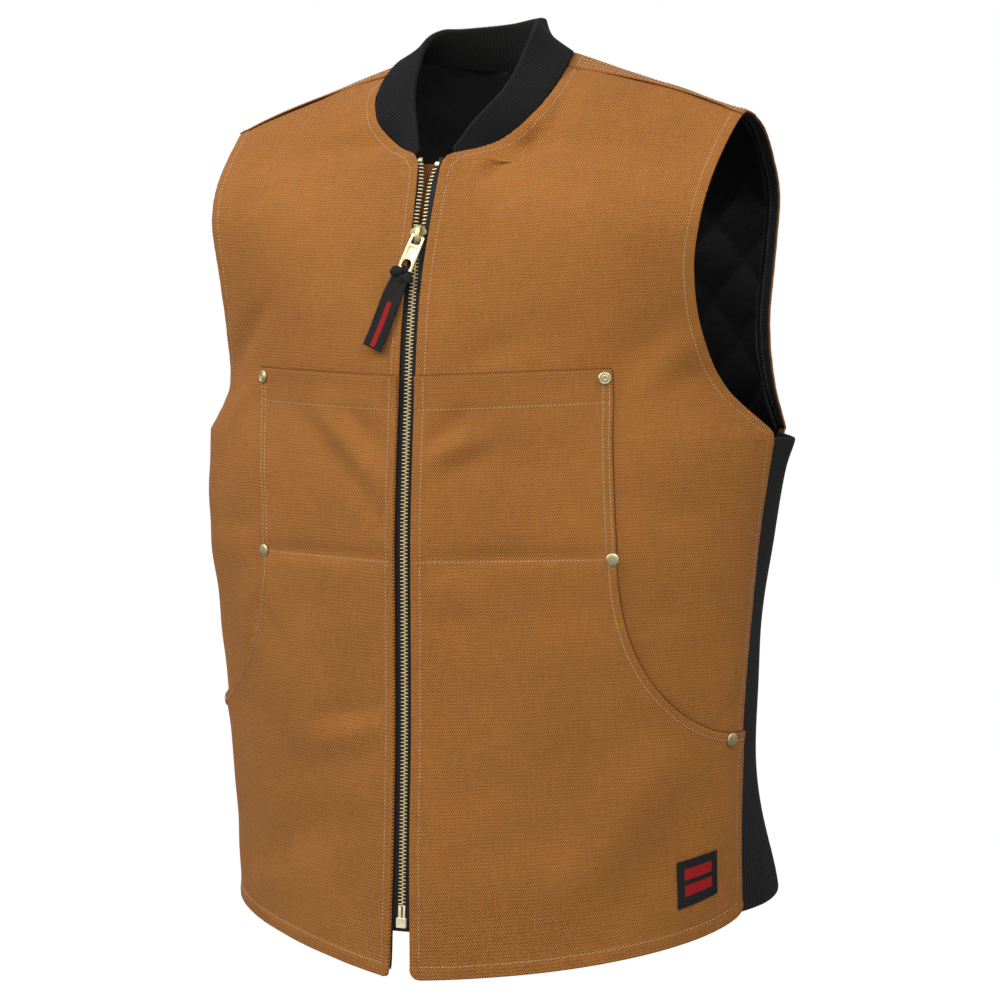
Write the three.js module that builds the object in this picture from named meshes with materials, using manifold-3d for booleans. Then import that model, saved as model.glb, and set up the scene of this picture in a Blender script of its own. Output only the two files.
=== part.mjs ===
// A sleeveless work vest of canvas, as it hangs on a wearer: two zipped fronts with double
// pocket layers, a back, ribbed knit sides and collar, a quilted lining and a brass zip.
// Millimetres, +Z up, the front faces -Y and the wearer's left is +X. The origin lies midway
// between the two points where the shoulder seams meet the collar. Heights in the tables are
// measured up from the front hem.
import * as THREE from "three";
import { mergeVertices } from "three/addons/utils/BufferGeometryUtils.js";
import Module from "manifold-3d";

// Driving dimensions
const NECK_HEIGHT = 725;
const CANVAS = 1.4;
const POCKET_CANVAS = 1.2;
const LAYER_GAP = 0.35;
const LINING_GAP = 1.8;
const QUILT = 4.2;
const SIDE_KNIT = 2.4;
const SIDE_DEPTH = 2.3;
const COLLAR_KNIT = 4.4;
const COLLAR_SKEW = 6;
const LABEL_SIDE = 36;
const LABEL_THICK = 0.8;
const RIVET_RADIUS = 5.8;
const RIVET_HEIGHT = 2.3;
const RIVET_RIM = 0.7;
const ZIP_DEPTH = 3;
const TAPE = 0.8;
const TAPE_WIDTH = 14;
const TAPE_BEND = 3.6;
const TEETH_WIDTH = 3.7;
const TEETH_THICK = 3;
const ZIP_BOTTOM = 51;
const ZIP_TOP = 645;
const SLIDER_HEIGHT = 587;
const ZIP_SPREAD = 6;
const FLAP_DEPTH = 6.9;
const FLAP_RIGHT = 24;
const FLAP_LEFT = 27;
const PULL_TWIST = 19;
const STRAP_LEAN = 6.5;
const PULL_LENGTH = 32;
const RIBBON_LENGTH = 66;
const RIBBON_WIDTH = 15;
const POCKET_TOP = 474;
const POCKET_EDGE = 159;
const OPENING_TOP = 341;
const OPENING_FOOT = 197;

// Shares of a section's chord that its end directions reach over, and of its rise by then
const LEAVE_REACH = 0.46;
const ARRIVE_REACH = 0.19;
const LEAVE_RISE = 0.34;
const ARRIVE_RISE = 0.72;

const canvas = new THREE.MeshStandardMaterial({ color: 0xa5672a, roughness: 0.85 });
const knit = new THREE.MeshStandardMaterial({ color: 0x1c1c1a, roughness: 0.95 });
const quilt = new THREE.MeshStandardMaterial({ color: 0x101114, roughness: 0.7 });
const ribbon = new THREE.MeshStandardMaterial({ color: 0x171717, roughness: 0.8 });
const brass = new THREE.MeshStandardMaterial({ color: 0xcdb56a, roughness: 0.3, metalness: 1 });
const oldBrass = new THREE.MeshStandardMaterial({ color: 0xa89a5c, roughness: 0.4, metalness: 1 });

// Each row is one section of a front, from its centre edge to its outer edge. Columns: the
// section's name, the centre edge's x y and height, the outer edge's x y and height, and the
// plan bearings in degrees in which the cloth leaves the centre and arrives at the outer edge.
// The outer edge is the side seam up to the armpit, then the armhole. From the neck corner on,
// the centre edge is the neckline, and the last section is the shoulder seam.
const FRONT = [
  ["hem", 10, -143, 0, 229, 3, 37, 10, 90],
  ["thigh", 7.5, -139, 100, 230, -1, 124, 9, 94],
  ["hip", 7.5, -136, 185, 234, -4, 202, 9, 98],
  ["waist", 7.5, -136, 270, 241, -5, 282, 9, 102],
  ["ribs", 7.5, -136.5, 350, 249, -4, 359, 9, 100],
  ["armpit", 7.5, -133, 418, 259, 0, 430, 9, 82],
  ["low_scye", 7.5, -130.5, 452, 228, -22, 464, 8, 62],
  ["scye", 7.5, -127, 500, 216, -46, 509, 8, 44],
  ["chest", 7.5, -120, 550, 215, -60, 558, 8, 36],
  ["high_chest", 8.5, -108, 605, 221, -61, 600, 10, 30],
  ["neck_corner", 11.5, -89, 650, 224, -51, 625, 14, 24],
  ["throat", 46, -63, 661, 225.5, -37, 644, 10, 18],
  ["neck_front", 70, -52, 681, 227, -21, 660, 8, 13],
  ["neck_side", 82, -30, 706, 228.5, -8, 671, 6, 6],
  ["shoulder", 79, -1, 725, 230, 1, 678, 2, 0],
];
// The same columns for half of the back, whose centre edge is the middle of the back.
const BACK = [
  ["hem", 0, 126, 50, 218, 90, 44, 0, -55],
  ["thigh", 0, 121, 140, 205, 82, 130, 0, -56],
  ["hip", 0, 116, 210, 201, 75, 205, 0, -58],
  ["waist", 0, 114, 288, 206, 70, 284, 0, -60],
  ["ribs", 0, 117, 362, 217, 67, 360, 0, -62],
  ["armpit", 0, 122, 430, 240, 68, 433, 0, -60],
  ["low_scye", 0, 125, 465, 229, 73, 465, 0, -46],
  ["scye", 0, 127, 515, 219, 84, 515, 0, -38],
  ["blade", 0, 125, 570, 221, 90, 570, 0, -32],
  ["high_blade", 0, 116, 625, 226, 87, 622, 0, -28],
  ["yoke", 0, 98, 676, 227, 72, 650, 0, -20],
  ["neck_back", 0, 65, 727, 228, 49, 674, 0, -6],
  ["neck_turn", 34, 58, 730, 228.5, 32, 681, -4, -6],
  ["neck_bend", 62, 40, 735, 229, 22, 683, -6, -6],
  ["neck_crest", 75, 19, 737, 229.5, 12, 682, -4, -2],
  ["shoulder", 79, -1, 725, 230, 1, 678, 2, 0],
];
const COLUMNS = ["name", "cx", "cy", "cz", "ox", "oy", "oz", "leave", "arrive"];
// Each row is one station along half of the collar, from its front end round to the middle of
// the back. Columns: the seam's x y and height, the folded top edge's x y and height, and how
// far the knit swells outwards between them, or hollows if less than 0.
const COLLAR = [
  ["front_end", 16, -84, 651, 15, -80, 656, 0],
  ["throat", 43.5, -60, 663.5, 29, -65, 677, 0],
  ["front_turn", 67, -49, 682.5, 40, -47, 697, 0],
  ["neck_side", 78, -29, 708, 47, -29, 717, 0],
  ["shoulder", 76, -1.5, 728, 49, -8, 744, -1],
  ["crest", 70, 17.5, 734, 42, 12, 757, -2],
  ["back_turn", 50.5, 43, 732, 34, 34, 760, -1],
  ["middle", 0, 61, 727, 0, 50, 761, 0],
];
const COLLAR_COLUMNS = ["name", "bx", "by", "bz", "tx", "ty", "tz", "swell"];

const wasm = await Module();
wasm.setup();

const named = (table, columns) =>
  table.map((row) => Object.fromEntries(columns.map((column, i) => [column, row[i]])));

// A smooth value through a table's rows at the given knots, with a break in direction at corners.
function throughRows(knots, values, corners, at) {
  const last = knots.length - 1;
  let i = 0;
  while (i < last - 1 && at > knots[i + 1]) i++;
  const span = knots[i + 1] - knots[i];
  const rise = (k) => (values[k + 1] - values[k]) / (knots[k + 1] - knots[k]);
  const slope = (k, side) => {
    if (k === 0) return rise(0);
    if (k === last) return rise(last - 1);
    if (corners.includes(k)) return side < 0 ? rise(k - 1) : rise(k);
    const before = knots[k] - knots[k - 1];
    const after = knots[k + 1] - knots[k];
    return (rise(k - 1) * after + rise(k) * before) / (before + after);
  };
  const u = (at - knots[i]) / span;
  const [u2, u3] = [u * u, u * u * u];
  return (
    values[i] * (2 * u3 - 3 * u2 + 1) +
    values[i + 1] * (3 * u2 - 2 * u3) +
    span * (slope(i, 1) * (u3 - 2 * u2 + u) + slope(i + 1, -1) * (u3 - u2))
  );
}

// A curved piece of cloth lofted through a table of sections: s runs from the centre edge to the
// outer edge, and t is counted in rows of the table, from the hem up.
class Cloth {
  constructor(rows, innerCorner, outerCorner, side) {
    this.rows = rows;
    this.side = side;
    this.last = rows.length - 1;
    this.knots = [0];
    rows.slice(1).forEach((row, i) => {
      const from = rows[i];
      const inner = Math.hypot(row.cx - from.cx, row.cy - from.cy, row.cz - from.cz);
      const outer = Math.hypot(row.ox - from.ox, row.oy - from.oy, row.oz - from.oz);
      this.knots.push(this.knots[i] + (inner + outer) / 2);
    });
    this.columns = {};
    for (const name of COLUMNS.slice(1)) {
      const corner = name.startsWith("c") ? innerCorner : name.startsWith("o") ? outerCorner : -1;
      this.columns[name] = { values: rows.map((row) => row[name]), corners: [corner] };
    }
  }

  // A column's value at row t.
  value(name, t) {
    const i = Math.min(this.last - 1, Math.max(0, Math.floor(t)));
    const at = this.knots[i] + (t - i) * (this.knots[i + 1] - this.knots[i]);
    const { values, corners } = this.columns[name];
    return throughRows(this.knots, values, corners, at);
  }

  point(s, t) {
    const v = Object.fromEntries(COLUMNS.slice(1).map((name) => [name, this.value(name, t)]));
    const chord = Math.hypot(v.ox - v.cx, v.oy - v.cy);
    const out = (angle, reach) => {
      const a = THREE.MathUtils.degToRad(angle);
      return [chord * reach * Math.cos(a), chord * reach * Math.sin(a)];
    };
    const [lx, ly] = out(v.leave, LEAVE_REACH);
    const [ax, ay] = out(v.arrive, ARRIVE_REACH);
    const section = new THREE.CubicBezierCurve3(
      new THREE.Vector3(v.cx, v.cy, v.cz),
      new THREE.Vector3(v.cx + lx, v.cy + ly, THREE.MathUtils.lerp(v.cz, v.oz, LEAVE_RISE)),
      new THREE.Vector3(v.ox - ax, v.oy - ay, THREE.MathUtils.lerp(v.cz, v.oz, ARRIVE_RISE)),
      new THREE.Vector3(v.ox, v.oy, v.oz),
    );
    const p = section.getPoint(s);
    return new THREE.Vector3(p.x * this.side, p.y, p.z - NECK_HEIGHT);
  }

  // The outward direction of the cloth.
  normal(s, t) {
    const [ds, dt] = [0.01, 0.03];
    const [s0, s1] = [Math.max(0, s - ds), Math.min(1, s + ds)];
    const [t0, t1] = [Math.max(0, t - dt), Math.min(this.last, t + dt)];
    const across = this.point(s1, t).sub(this.point(s0, t));
    const up = this.point(s, t1).sub(this.point(s, t0));
    const turn = this.rows === backRows ? -this.side : this.side;
    return across.cross(up).normalize().multiplyScalar(turn);
  }

  sample(s, t) {
    return { p: this.point(s, t), n: this.normal(s, t) };
  }

  // The s and t of the cloth's point nearest to a place.
  locate(x, y, height) {
    const goal = new THREE.Vector3(x * this.side, y, height - NECK_HEIGHT);
    let best = { s: 0.5, t: this.last / 2 };
    let far = this.point(best.s, best.t).distanceTo(goal);
    for (let step = 0.5; step > 1e-5; step *= 0.8) {
      for (const [a, b] of [[1, 0], [-1, 0], [0, 1], [0, -1]]) {
        const s = THREE.MathUtils.clamp(best.s + a * step * 0.5, 0, 1);
        const t = THREE.MathUtils.clamp(best.t + b * step * 4, 0, this.last);
        const d = this.point(s, t).distanceTo(goal);
        if (d < far) [best, far] = [{ s, t }, d];
      }
    }
    return best;
  }

  // The s at which row t reaches a distance from the middle.
  acrossAt(x, t) {
    let [low, high] = [0, 1];
    for (let i = 0; i < 40; i++) {
      const mid = (low + high) / 2;
      if (Math.abs(this.point(mid, t).x) < x) low = mid;
      else high = mid;
    }
    return (low + high) / 2;
  }

  // The row t at which the centre edge, or the outer edge, reaches a height.
  rowAt(height, column = "cz") {
    let [low, high] = [0, this.last];
    for (let i = 0; i < 40; i++) {
      const mid = (low + high) / 2;
      if (this.value(column, mid) < height) low = mid;
      else high = mid;
    }
    return (low + high) / 2;
  }
}

const frontRows = named(FRONT, COLUMNS);
const backRows = named(BACK, COLUMNS);
const rowOf = (rows, name) => rows.findIndex((row) => row.name === name);
const ARMPIT = rowOf(frontRows, "armpit");
const NECK_CORNER = rowOf(frontRows, "neck_corner");
const NECK_BACK = rowOf(backRows, "neck_back");
const frontCloth = (side) => new Cloth(frontRows, NECK_CORNER, ARMPIT, side);
const backCloth = (side) => new Cloth(backRows, NECK_BACK, rowOf(backRows, "armpit"), side);

// Values from low to high in equal steps.
const steps = (low, high, count) =>
  Array.from({ length: count + 1 }, (_, i) => low + ((high - low) * i) / count);

// A closed wall between two offsets from a net of sampled faces. Shared corners become one, and
// every edge that only one face uses gets a rim. A row may be one column shorter than the row
// below it, and its last face is then a triangle.
function wall(nets, outer, inner) {
  const index = new Map();
  const corners = [];
  const faces = [];
  const corner = ({ p, n }) => {
    const key = p.toArray().map((value) => Math.round(value * 50)).join();
    if (!index.has(key)) {
      index.set(key, corners.length);
      corners.push({ p, n: n.clone() });
    } else corners[index.get(key)].n.add(n);
    return index.get(key);
  };
  for (const net of nets)
    for (let i = 1; i < net.length; i++)
      for (let j = 1; j < net[i - 1].length; j++) {
        const ring = [net[i - 1][j - 1], net[i - 1][j], net[i][j], net[i][j - 1]];
        faces.push(ring.filter(Boolean).map(corner));
      }
  const count = corners.length;
  const triangles = [];
  const edges = new Map();
  const triangle = (a, b, c) => {
    if (a === b || b === c || a === c) return;
    triangles.push([a, b, c], [a + count, c + count, b + count]);
    for (const [from, to] of [[a, b], [b, c], [c, a]])
      if (!edges.delete(`${to},${from}`)) edges.set(`${from},${to}`, [from, to]);
  };
  for (const face of faces) {
    const [a, b, d] = [face[0], face[1], face.at(-1)];
    const [pa, pb, pd] = [corners[a].p, corners[b].p, corners[d].p];
    const turn = pb.clone().sub(pa).cross(pd.clone().sub(pa)).dot(corners[a].n);
    const split = face.length === 4 ? [[a, b, d], [b, face[2], d]] : [[a, b, d]];
    for (const [i, j, k] of split) triangle(i, turn >= 0 ? j : k, turn >= 0 ? k : j);
  }
  for (const [from, to] of edges.values())
    triangles.push([to, from, from + count], [to, from + count, to + count]);
  const place = (offset) =>
    corners.flatMap(({ p, n }) => p.clone().addScaledVector(n.clone().normalize(), offset).toArray());
  const geometry = new THREE.BufferGeometry();
  geometry.setAttribute(
    "position",
    new THREE.Float32BufferAttribute([...place(outer), ...place(inner)], 3),
  );
  geometry.setIndex(triangles.flat());
  return geometry;
}

// Rows that keep every section of a table from first to last, with more between distant ones.
function rowsBetween(cloth, first, last, spacing) {
  const rows = [first];
  for (let k = Math.floor(first); k < last; k++) {
    const [from, to] = [Math.max(first, k), Math.min(last, k + 1)];
    const gap = (cloth.knots[k + 1] - cloth.knots[k]) * (to - from);
    if (to > from) rows.push(...steps(from, to, Math.max(1, Math.round(gap / spacing))).slice(1));
  }
  return rows;
}

function meshOf(name, geometry, material) {
  const mesh = new THREE.Mesh(geometry, material);
  mesh.name = name;
  return mesh;
}

const vest = new THREE.Group();
const sides = [
  { word: "left", side: 1 },
  { word: "right", side: -1 },
];

// Canvas fronts, with a column of the net at the pocket's upright edge, and rows and columns that
// meet along the curved hand opening
const CLOTH_SPACING = 42;
const SEAM_GAP = 0.035;
const POCKET_COLUMNS = 5;
const OPENING_STEPS = 6;
const OPENING_FULLNESS = 0.82;
const openingTurns = steps(0, Math.PI / 2, OPENING_STEPS);
function frontColumns(cloth, t) {
  const edge = cloth.acrossAt(POCKET_EDGE, t);
  return [
    ...steps(0, edge, POCKET_COLUMNS),
    ...openingTurns.slice(1).map((turn) => 1 - (1 - edge) * Math.cos(turn) ** OPENING_FULLNESS),
  ];
}
function frontPlan(cloth) {
  const top = cloth.rowAt(OPENING_TOP);
  const foot = cloth.rowAt(OPENING_FOOT, "oz");
  const below = rowsBetween(cloth, 0, foot, CLOTH_SPACING);
  const opening = openingTurns
    .toReversed()
    .map((turn) => top + (foot - top) * Math.sin(turn) ** OPENING_FULLNESS);
  const straight = rowsBetween(cloth, top, cloth.rowAt(POCKET_TOP), CLOTH_SPACING);
  const above = rowsBetween(cloth, straight.at(-1), cloth.last - SEAM_GAP, CLOTH_SPACING);
  const rows = [...below, ...opening.slice(1), ...straight.slice(1), ...above.slice(1)];
  const pocketRows = below.length + OPENING_STEPS + straight.length - 1;
  return { rows, foot: below.length - 1, pocketRows };
}
const sampled = (cloth, rows, columns) =>
  rows.map((t) => columns(t).map((s) => cloth.sample(s, t)));
const POCKET_FACE = LAYER_GAP + POCKET_CANVAS;
const fronts = sides.map(({ word, side }) => {
  const cloth = frontCloth(side);
  const plan = frontPlan(cloth);
  return { word, plan, net: sampled(cloth, plan.rows, (t) => frontColumns(cloth, t)) };
});
for (const { word, plan, net } of fronts) {
  vest.add(meshOf(`front_${word}`, wall([net], 0, -CANVAS), canvas));
  const layer = net.slice(0, plan.pocketRows).map((row, i) => {
    const cut = THREE.MathUtils.clamp(i - plan.foot, 0, OPENING_STEPS);
    return row.slice(0, row.length - cut);
  });
  vest.add(meshOf(`pocket_${word}`, wall([layer], POCKET_FACE, LAYER_GAP), canvas));
}

// Canvas back, one piece across the middle
const BACK_COLUMNS = 8;
const backs = sides.map(({ side }) => {
  const cloth = backCloth(side);
  const rows = rowsBetween(cloth, 0, cloth.last - SEAM_GAP, CLOTH_SPACING);
  return { rows, net: sampled(cloth, rows, () => steps(0, 1, BACK_COLUMNS)) };
});
const backNets = backs.map((back) => back.net);
vest.add(meshOf("back", wall(backNets, 0, -CANVAS), canvas));

// Knitted side panels, set just behind the canvas edges on both sides
const SIDE_COLUMNS = 4;
const sideRows = frontRows.slice(0, ARMPIT + 1).map((row, i) => ({
  name: row.name,
  ...{ cx: row.ox, cy: row.oy, cz: row.oz, leave: row.arrive },
  ...{ ox: backRows[i].ox, oy: backRows[i].oy, oz: backRows[i].oz },
  arrive: 180 + backRows[i].arrive,
}));
for (const { word, side } of sides) {
  const cloth = new Cloth(sideRows, -1, -1, side);
  const rows = rowsBetween(cloth, 0, cloth.last, CLOTH_SPACING);
  const panel = sampled(cloth, rows, () => steps(0, 1, SIDE_COLUMNS));
  const knitted = wall([panel], -SIDE_DEPTH, -SIDE_DEPTH - SIDE_KNIT);
  vest.add(meshOf(`side_rib_${word}`, knitted, knit));
}

// Quilted lining behind the canvas, clear of the zip flap, the knit sides and the collar
const LINING_OUT = -CANVAS - LINING_GAP;
for (const { word, net } of fronts) {
  const lining = net.slice(1, -1).map((row) => row.slice(1, -1));
  const padded = wall([lining], LINING_OUT, LINING_OUT - QUILT);
  vest.add(meshOf(`lining_front_${word}`, padded, quilt));
}
const neckRow = backs[0].rows.findIndex((t) => t >= NECK_BACK);
const backLining = backNets.map((net) => net.slice(1, neckRow).map((row) => row.slice(0, -1)));
vest.add(meshOf("lining_back", wall(backLining, LINING_OUT, LINING_OUT - QUILT), quilt));

// Ribbed collar, one folded strip from one front end round the back to the other
const collarRows = named(COLLAR, COLLAR_COLUMNS);
const collarKnots = collarRows.map((_, i) => i);
const COLLAR_CENTRE = 10;
const COLLAR_REACH = 47;
const collarValue = (column, at) =>
  throughRows(collarKnots, collarRows.map((row) => row[column]), [], at);
function collarPoint(along, rise) {
  const half = collarRows.length - 1;
  const at = half - Math.abs(along);
  const side = along < 0 ? -1 : 1;
  const get = (column) => collarValue(column, at);
  const base = new THREE.Vector3(get("bx"), get("by"), get("bz"));
  const top = new THREE.Vector3(get("tx"), get("ty"), get("tz"));
  const p = base.clone().lerp(top, rise);
  const outwards = new THREE.Vector3(base.x, base.y - COLLAR_CENTRE, 0).normalize();
  p.addScaledVector(outwards, get("swell") * Math.sin(Math.PI * rise));
  p.z += COLLAR_SKEW * rise * (p.x / COLLAR_REACH) * side - NECK_HEIGHT;
  p.x *= side;
  return p;
}
function collarSample(along, rise) {
  const d = 0.05;
  const across = collarPoint(along + d, rise).sub(collarPoint(along - d, rise));
  const up = collarPoint(along, rise + d).sub(collarPoint(along, rise - d));
  return { p: collarPoint(along, rise), n: up.cross(across).multiplyScalar(-1).normalize() };
}
const COLLAR_END = collarRows.length - 1.06;
const COLLAR_STEPS = 34;
const collarNet = steps(-COLLAR_END, COLLAR_END, COLLAR_STEPS).map((along) =>
  steps(0, 1, 4).map((rise) => collarSample(along, rise)),
);
vest.add(meshOf("collar_rib", wall([collarNet], COLLAR_KNIT / 2, -COLLAR_KNIT / 2), knit));

// The zip's own surface: flat across the gap between the fronts, then falling back with them
const zipCloth = frontCloth(1);
function zipPoint(x, height) {
  const t = zipCloth.rowAt(height);
  const lean = Math.tan(THREE.MathUtils.degToRad(zipCloth.value("leave", t)));
  const y = zipCloth.value("cy", t) + Math.max(0, Math.abs(x) - zipCloth.value("cx", t)) * lean;
  return new THREE.Vector3(x, y, height - NECK_HEIGHT);
}
function zipSample(x, height) {
  const side = x < 0 ? -1 : 1;
  const across = zipPoint(x + 0.5 * side, height).sub(zipPoint(x, height)).multiplyScalar(side);
  const up = zipPoint(x, height + 2).sub(zipPoint(x, height - 2));
  return { p: zipPoint(x, height), n: across.cross(up).normalize() };
}
// Half of the gap between the two rows of teeth, closed below the slider.
const SPREAD_START = SLIDER_HEIGHT - 6;
const spread = (height) =>
  (ZIP_SPREAD * Math.max(0, height - SPREAD_START)) / (ZIP_TOP - SPREAD_START) + 0.2;
const zipHeights = [
  ...steps(ZIP_BOTTOM, SPREAD_START, 20),
  ...steps(SPREAD_START, ZIP_TOP, 4).slice(1),
];
const zipStrip = (columns, outer, inner) =>
  wall([zipHeights.map((h) => columns(h).map((x) => zipSample(x, h)))], outer, inner);
for (const { word, side } of sides) {
  const teethOut = (h) => side * (spread(h) + TEETH_WIDTH);
  const teeth = zipStrip(
    (h) => [side * spread(h), teethOut(h)],
    -ZIP_DEPTH + TEETH_THICK / 2,
    -ZIP_DEPTH - TEETH_THICK / 2,
  );
  vest.add(meshOf(`zip_teeth_${word}`, teeth, brass));
  const tape = zipStrip(
    (h) => [LAYER_GAP, TAPE_BEND, TAPE_WIDTH].map((x) => teethOut(h) + side * x),
    -ZIP_DEPTH + TAPE / 2,
    -ZIP_DEPTH - TAPE / 2,
  );
  vest.add(meshOf(`zip_tape_${word}`, tape, ribbon));
}
const flapHeights = [...steps(ZIP_BOTTOM - 15, SPREAD_START, 12), SLIDER_HEIGHT + 30, ZIP_TOP - 2];
const flap = flapHeights.map((h) =>
  [-FLAP_RIGHT, -12, 12, FLAP_LEFT].map((x) => zipSample(x, h)),
);
vest.add(meshOf("storm_flap", wall([flap], -FLAP_DEPTH, -FLAP_DEPTH - POCKET_CANVAS), canvas));

// A group that stands on the zip at a height: x to the wearer's left, y up the zip, z outwards
function zipGroup(x, height, depth) {
  const up = zipPoint(x, height + 4).sub(zipPoint(x, height - 4)).normalize();
  const across = new THREE.Vector3(1, 0, 0);
  const out = across.clone().cross(up);
  const group = new THREE.Group();
  group.position.copy(zipPoint(x, height)).addScaledVector(out, depth);
  group.setRotationFromMatrix(new THREE.Matrix4().makeBasis(across, up, out));
  vest.add(group);
  return group;
}

// Solids that are joined or cut
function solid(geometry) {
  const bare = geometry.clone();
  for (const name of ["normal", "uv"]) bare.deleteAttribute(name);
  const merged = mergeVertices(bare, 1e-4);
  return new wasm.Manifold(
    new wasm.Mesh({
      numProp: 3,
      vertProperties: merged.getAttribute("position").array,
      triVerts: new Uint32Array(merged.index.array),
    }),
  );
}
function geometryOf(made) {
  const { vertProperties, triVerts } = made.getMesh();
  const geometry = new THREE.BufferGeometry();
  geometry.setAttribute("position", new THREE.BufferAttribute(vertProperties, 3));
  geometry.setIndex(new THREE.BufferAttribute(triVerts, 1));
  return geometry;
}
const join = (...pieces) => geometryOf(pieces.map(solid).reduce((all, next) => all.add(next)));
const box = (width, height, depth, x, y, z) =>
  new THREE.BoxGeometry(width, height, depth).translate(x, y, z);

// An extruded plate with rounded corners, its middle at the origin and its thickness along z
function plate(corners, radius, thick, holes = []) {
  const outline = (points, Kind) => {
    const path = new Kind();
    points.forEach((point, i) => {
      const [before, after] = [points.at(i - 1), points[(i + 1) % points.length]];
      const at = new THREE.Vector2(...point);
      const arrive = new THREE.Vector2(...before).sub(at).setLength(radius).add(at);
      const depart = new THREE.Vector2(...after).sub(at).setLength(radius).add(at);
      if (i === 0) path.moveTo(arrive.x, arrive.y);
      else path.lineTo(arrive.x, arrive.y);
      path.quadraticCurveTo(at.x, at.y, depart.x, depart.y);
    });
    path.closePath();
    return path;
  };
  const shape = outline(corners, THREE.Shape);
  shape.holes = holes.map((hole) => outline(hole, THREE.Path));
  const options = { depth: thick, bevelEnabled: false, curveSegments: 3 };
  return new THREE.ExtrudeGeometry(shape, options).translate(0, 0, -thick / 2);
}
const rectangle = (width, low, high) => [
  [-width / 2, low],
  [width / 2, low],
  [width / 2, high],
  [-width / 2, high],
];

// Slider: two plates round the teeth, a post between them and a bridge that carries the pull tab
const PLATE_THICK = 1.3;
const PLATE_AT = 2.5;
const BRIDGE_HALF = 4.8;
const BRIDGE_WIDTH = 3;
const BRIDGE_LIFT = 2.5;
const BRIDGE_THICK = 1.4;
const PLATE_ROUND = 1.2;
const POST_WIDTH = 1.6;
const POST_LENGTH = 2.6;
const POST_AT = 5.7;
const shield = [
  [-4.6, -7],
  [4.6, -7],
  [7, 3],
  [4.2, 7.2],
  [-4.2, 7.2],
  [-7, 3],
];
const bridgeFloor = PLATE_AT + PLATE_THICK / 2;
const BRIDGE_RISE = 1.8;
const bridgeFoot = (y) =>
  box(BRIDGE_WIDTH, BRIDGE_THICK, BRIDGE_LIFT + BRIDGE_THICK, 0, y, bridgeFloor + BRIDGE_RISE);
const slider = join(
  plate(shield, PLATE_ROUND, PLATE_THICK).translate(0, 0, PLATE_AT),
  plate(shield, PLATE_ROUND, PLATE_THICK).translate(0, 0, -PLATE_AT),
  box(POST_WIDTH, POST_LENGTH, 2 * PLATE_AT, 0, POST_AT, 0),
  bridgeFoot(BRIDGE_HALF - BRIDGE_THICK / 2),
  bridgeFoot(-BRIDGE_HALF + BRIDGE_THICK / 2),
  box(BRIDGE_WIDTH, 2 * BRIDGE_HALF, BRIDGE_THICK, 0, 0, bridgeFloor + BRIDGE_LIFT + BRIDGE_THICK / 2),
);
const sliderGroup = zipGroup(0, SLIDER_HEIGHT, -ZIP_DEPTH);
sliderGroup.add(meshOf("zip_slider", slider, brass));

// Pull tab: a plate whose top bar turns under the bridge, with the ribbon's slot at its foot
const TAB_THICK = 1.3;
const TAB_BAR = 0.75;
const TAB_TOP_HALF = 5.2;
const TAB_FOOT_HALF = 5.6;
const TAB_ROUND = 0.7;
const TAB_FOOT = TAB_BAR - PULL_LENGTH;
const FOOT_BAR = 2;
const SLOT_FOOT = TAB_FOOT + FOOT_BAR;
const RIBBON_SLOT = [7.4, 5.4];
const BRIDGE_SLOT = [7.2, 5.85];
const tabOutline = [
  [-TAB_TOP_HALF, TAB_BAR],
  [TAB_TOP_HALF, TAB_BAR],
  [TAB_FOOT_HALF, TAB_FOOT],
  [-TAB_FOOT_HALF, TAB_FOOT],
];
const bridgeSlot = rectangle(BRIDGE_SLOT[0], -TAB_BAR - BRIDGE_SLOT[1], -TAB_BAR);
const ribbonSlot = rectangle(RIBBON_SLOT[0], SLOT_FOOT, SLOT_FOOT + RIBBON_SLOT[1]);
const tab = plate(tabOutline, TAB_ROUND, TAB_THICK, [bridgeSlot, ribbonSlot]);
const tabGroup = new THREE.Group();
tabGroup.position.set(0, 0, bridgeFloor + BRIDGE_LIFT / 2);
tabGroup.rotation.z = THREE.MathUtils.degToRad(-PULL_TWIST);
sliderGroup.add(tabGroup);
tabGroup.add(meshOf("pull_tab", tab, brass));

// Ribbon: looped round the tab's foot, knotted, and hanging as one flat doubled strap
const RIBBON_THICK = 1.6;
const RIBBON_ROUND = 1;
const LOOP_DEPTH = 4.4;
const LOOP_WIDTH = 5.6;
const LOOP_ROUND = 0.8;
const LOOP_AT = SLOT_FOOT - 1.2;
const KNOT = [6.4, 4.4, 2.4];
const KNOT_AT = SLOT_FOOT - 7;
const KNOT_LIFT = 1.6;
const STRAP_LIFT = 1;
const loopEye = rectangle(LOOP_DEPTH / 2, -1.5, 2.5).reverse();
const loopRing = plate(rectangle(LOOP_DEPTH, -2.6, 3.6), LOOP_ROUND, LOOP_WIDTH, [loopEye]);
loopRing.rotateY(Math.PI / 2).translate(0, LOOP_AT, 0);
const knot = new THREE.SphereGeometry(1, 12, 8).scale(...KNOT);
knot.translate(0, KNOT_AT, KNOT_LIFT);
const strap = plate(rectangle(RIBBON_WIDTH, -RIBBON_LENGTH, 0), RIBBON_ROUND, RIBBON_THICK);
strap.rotateX(THREE.MathUtils.degToRad(STRAP_LEAN)).translate(0, KNOT_AT, STRAP_LIFT);
tabGroup.add(meshOf("ribbon_tag", join(loopRing, knot, strap), ribbon));

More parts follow.
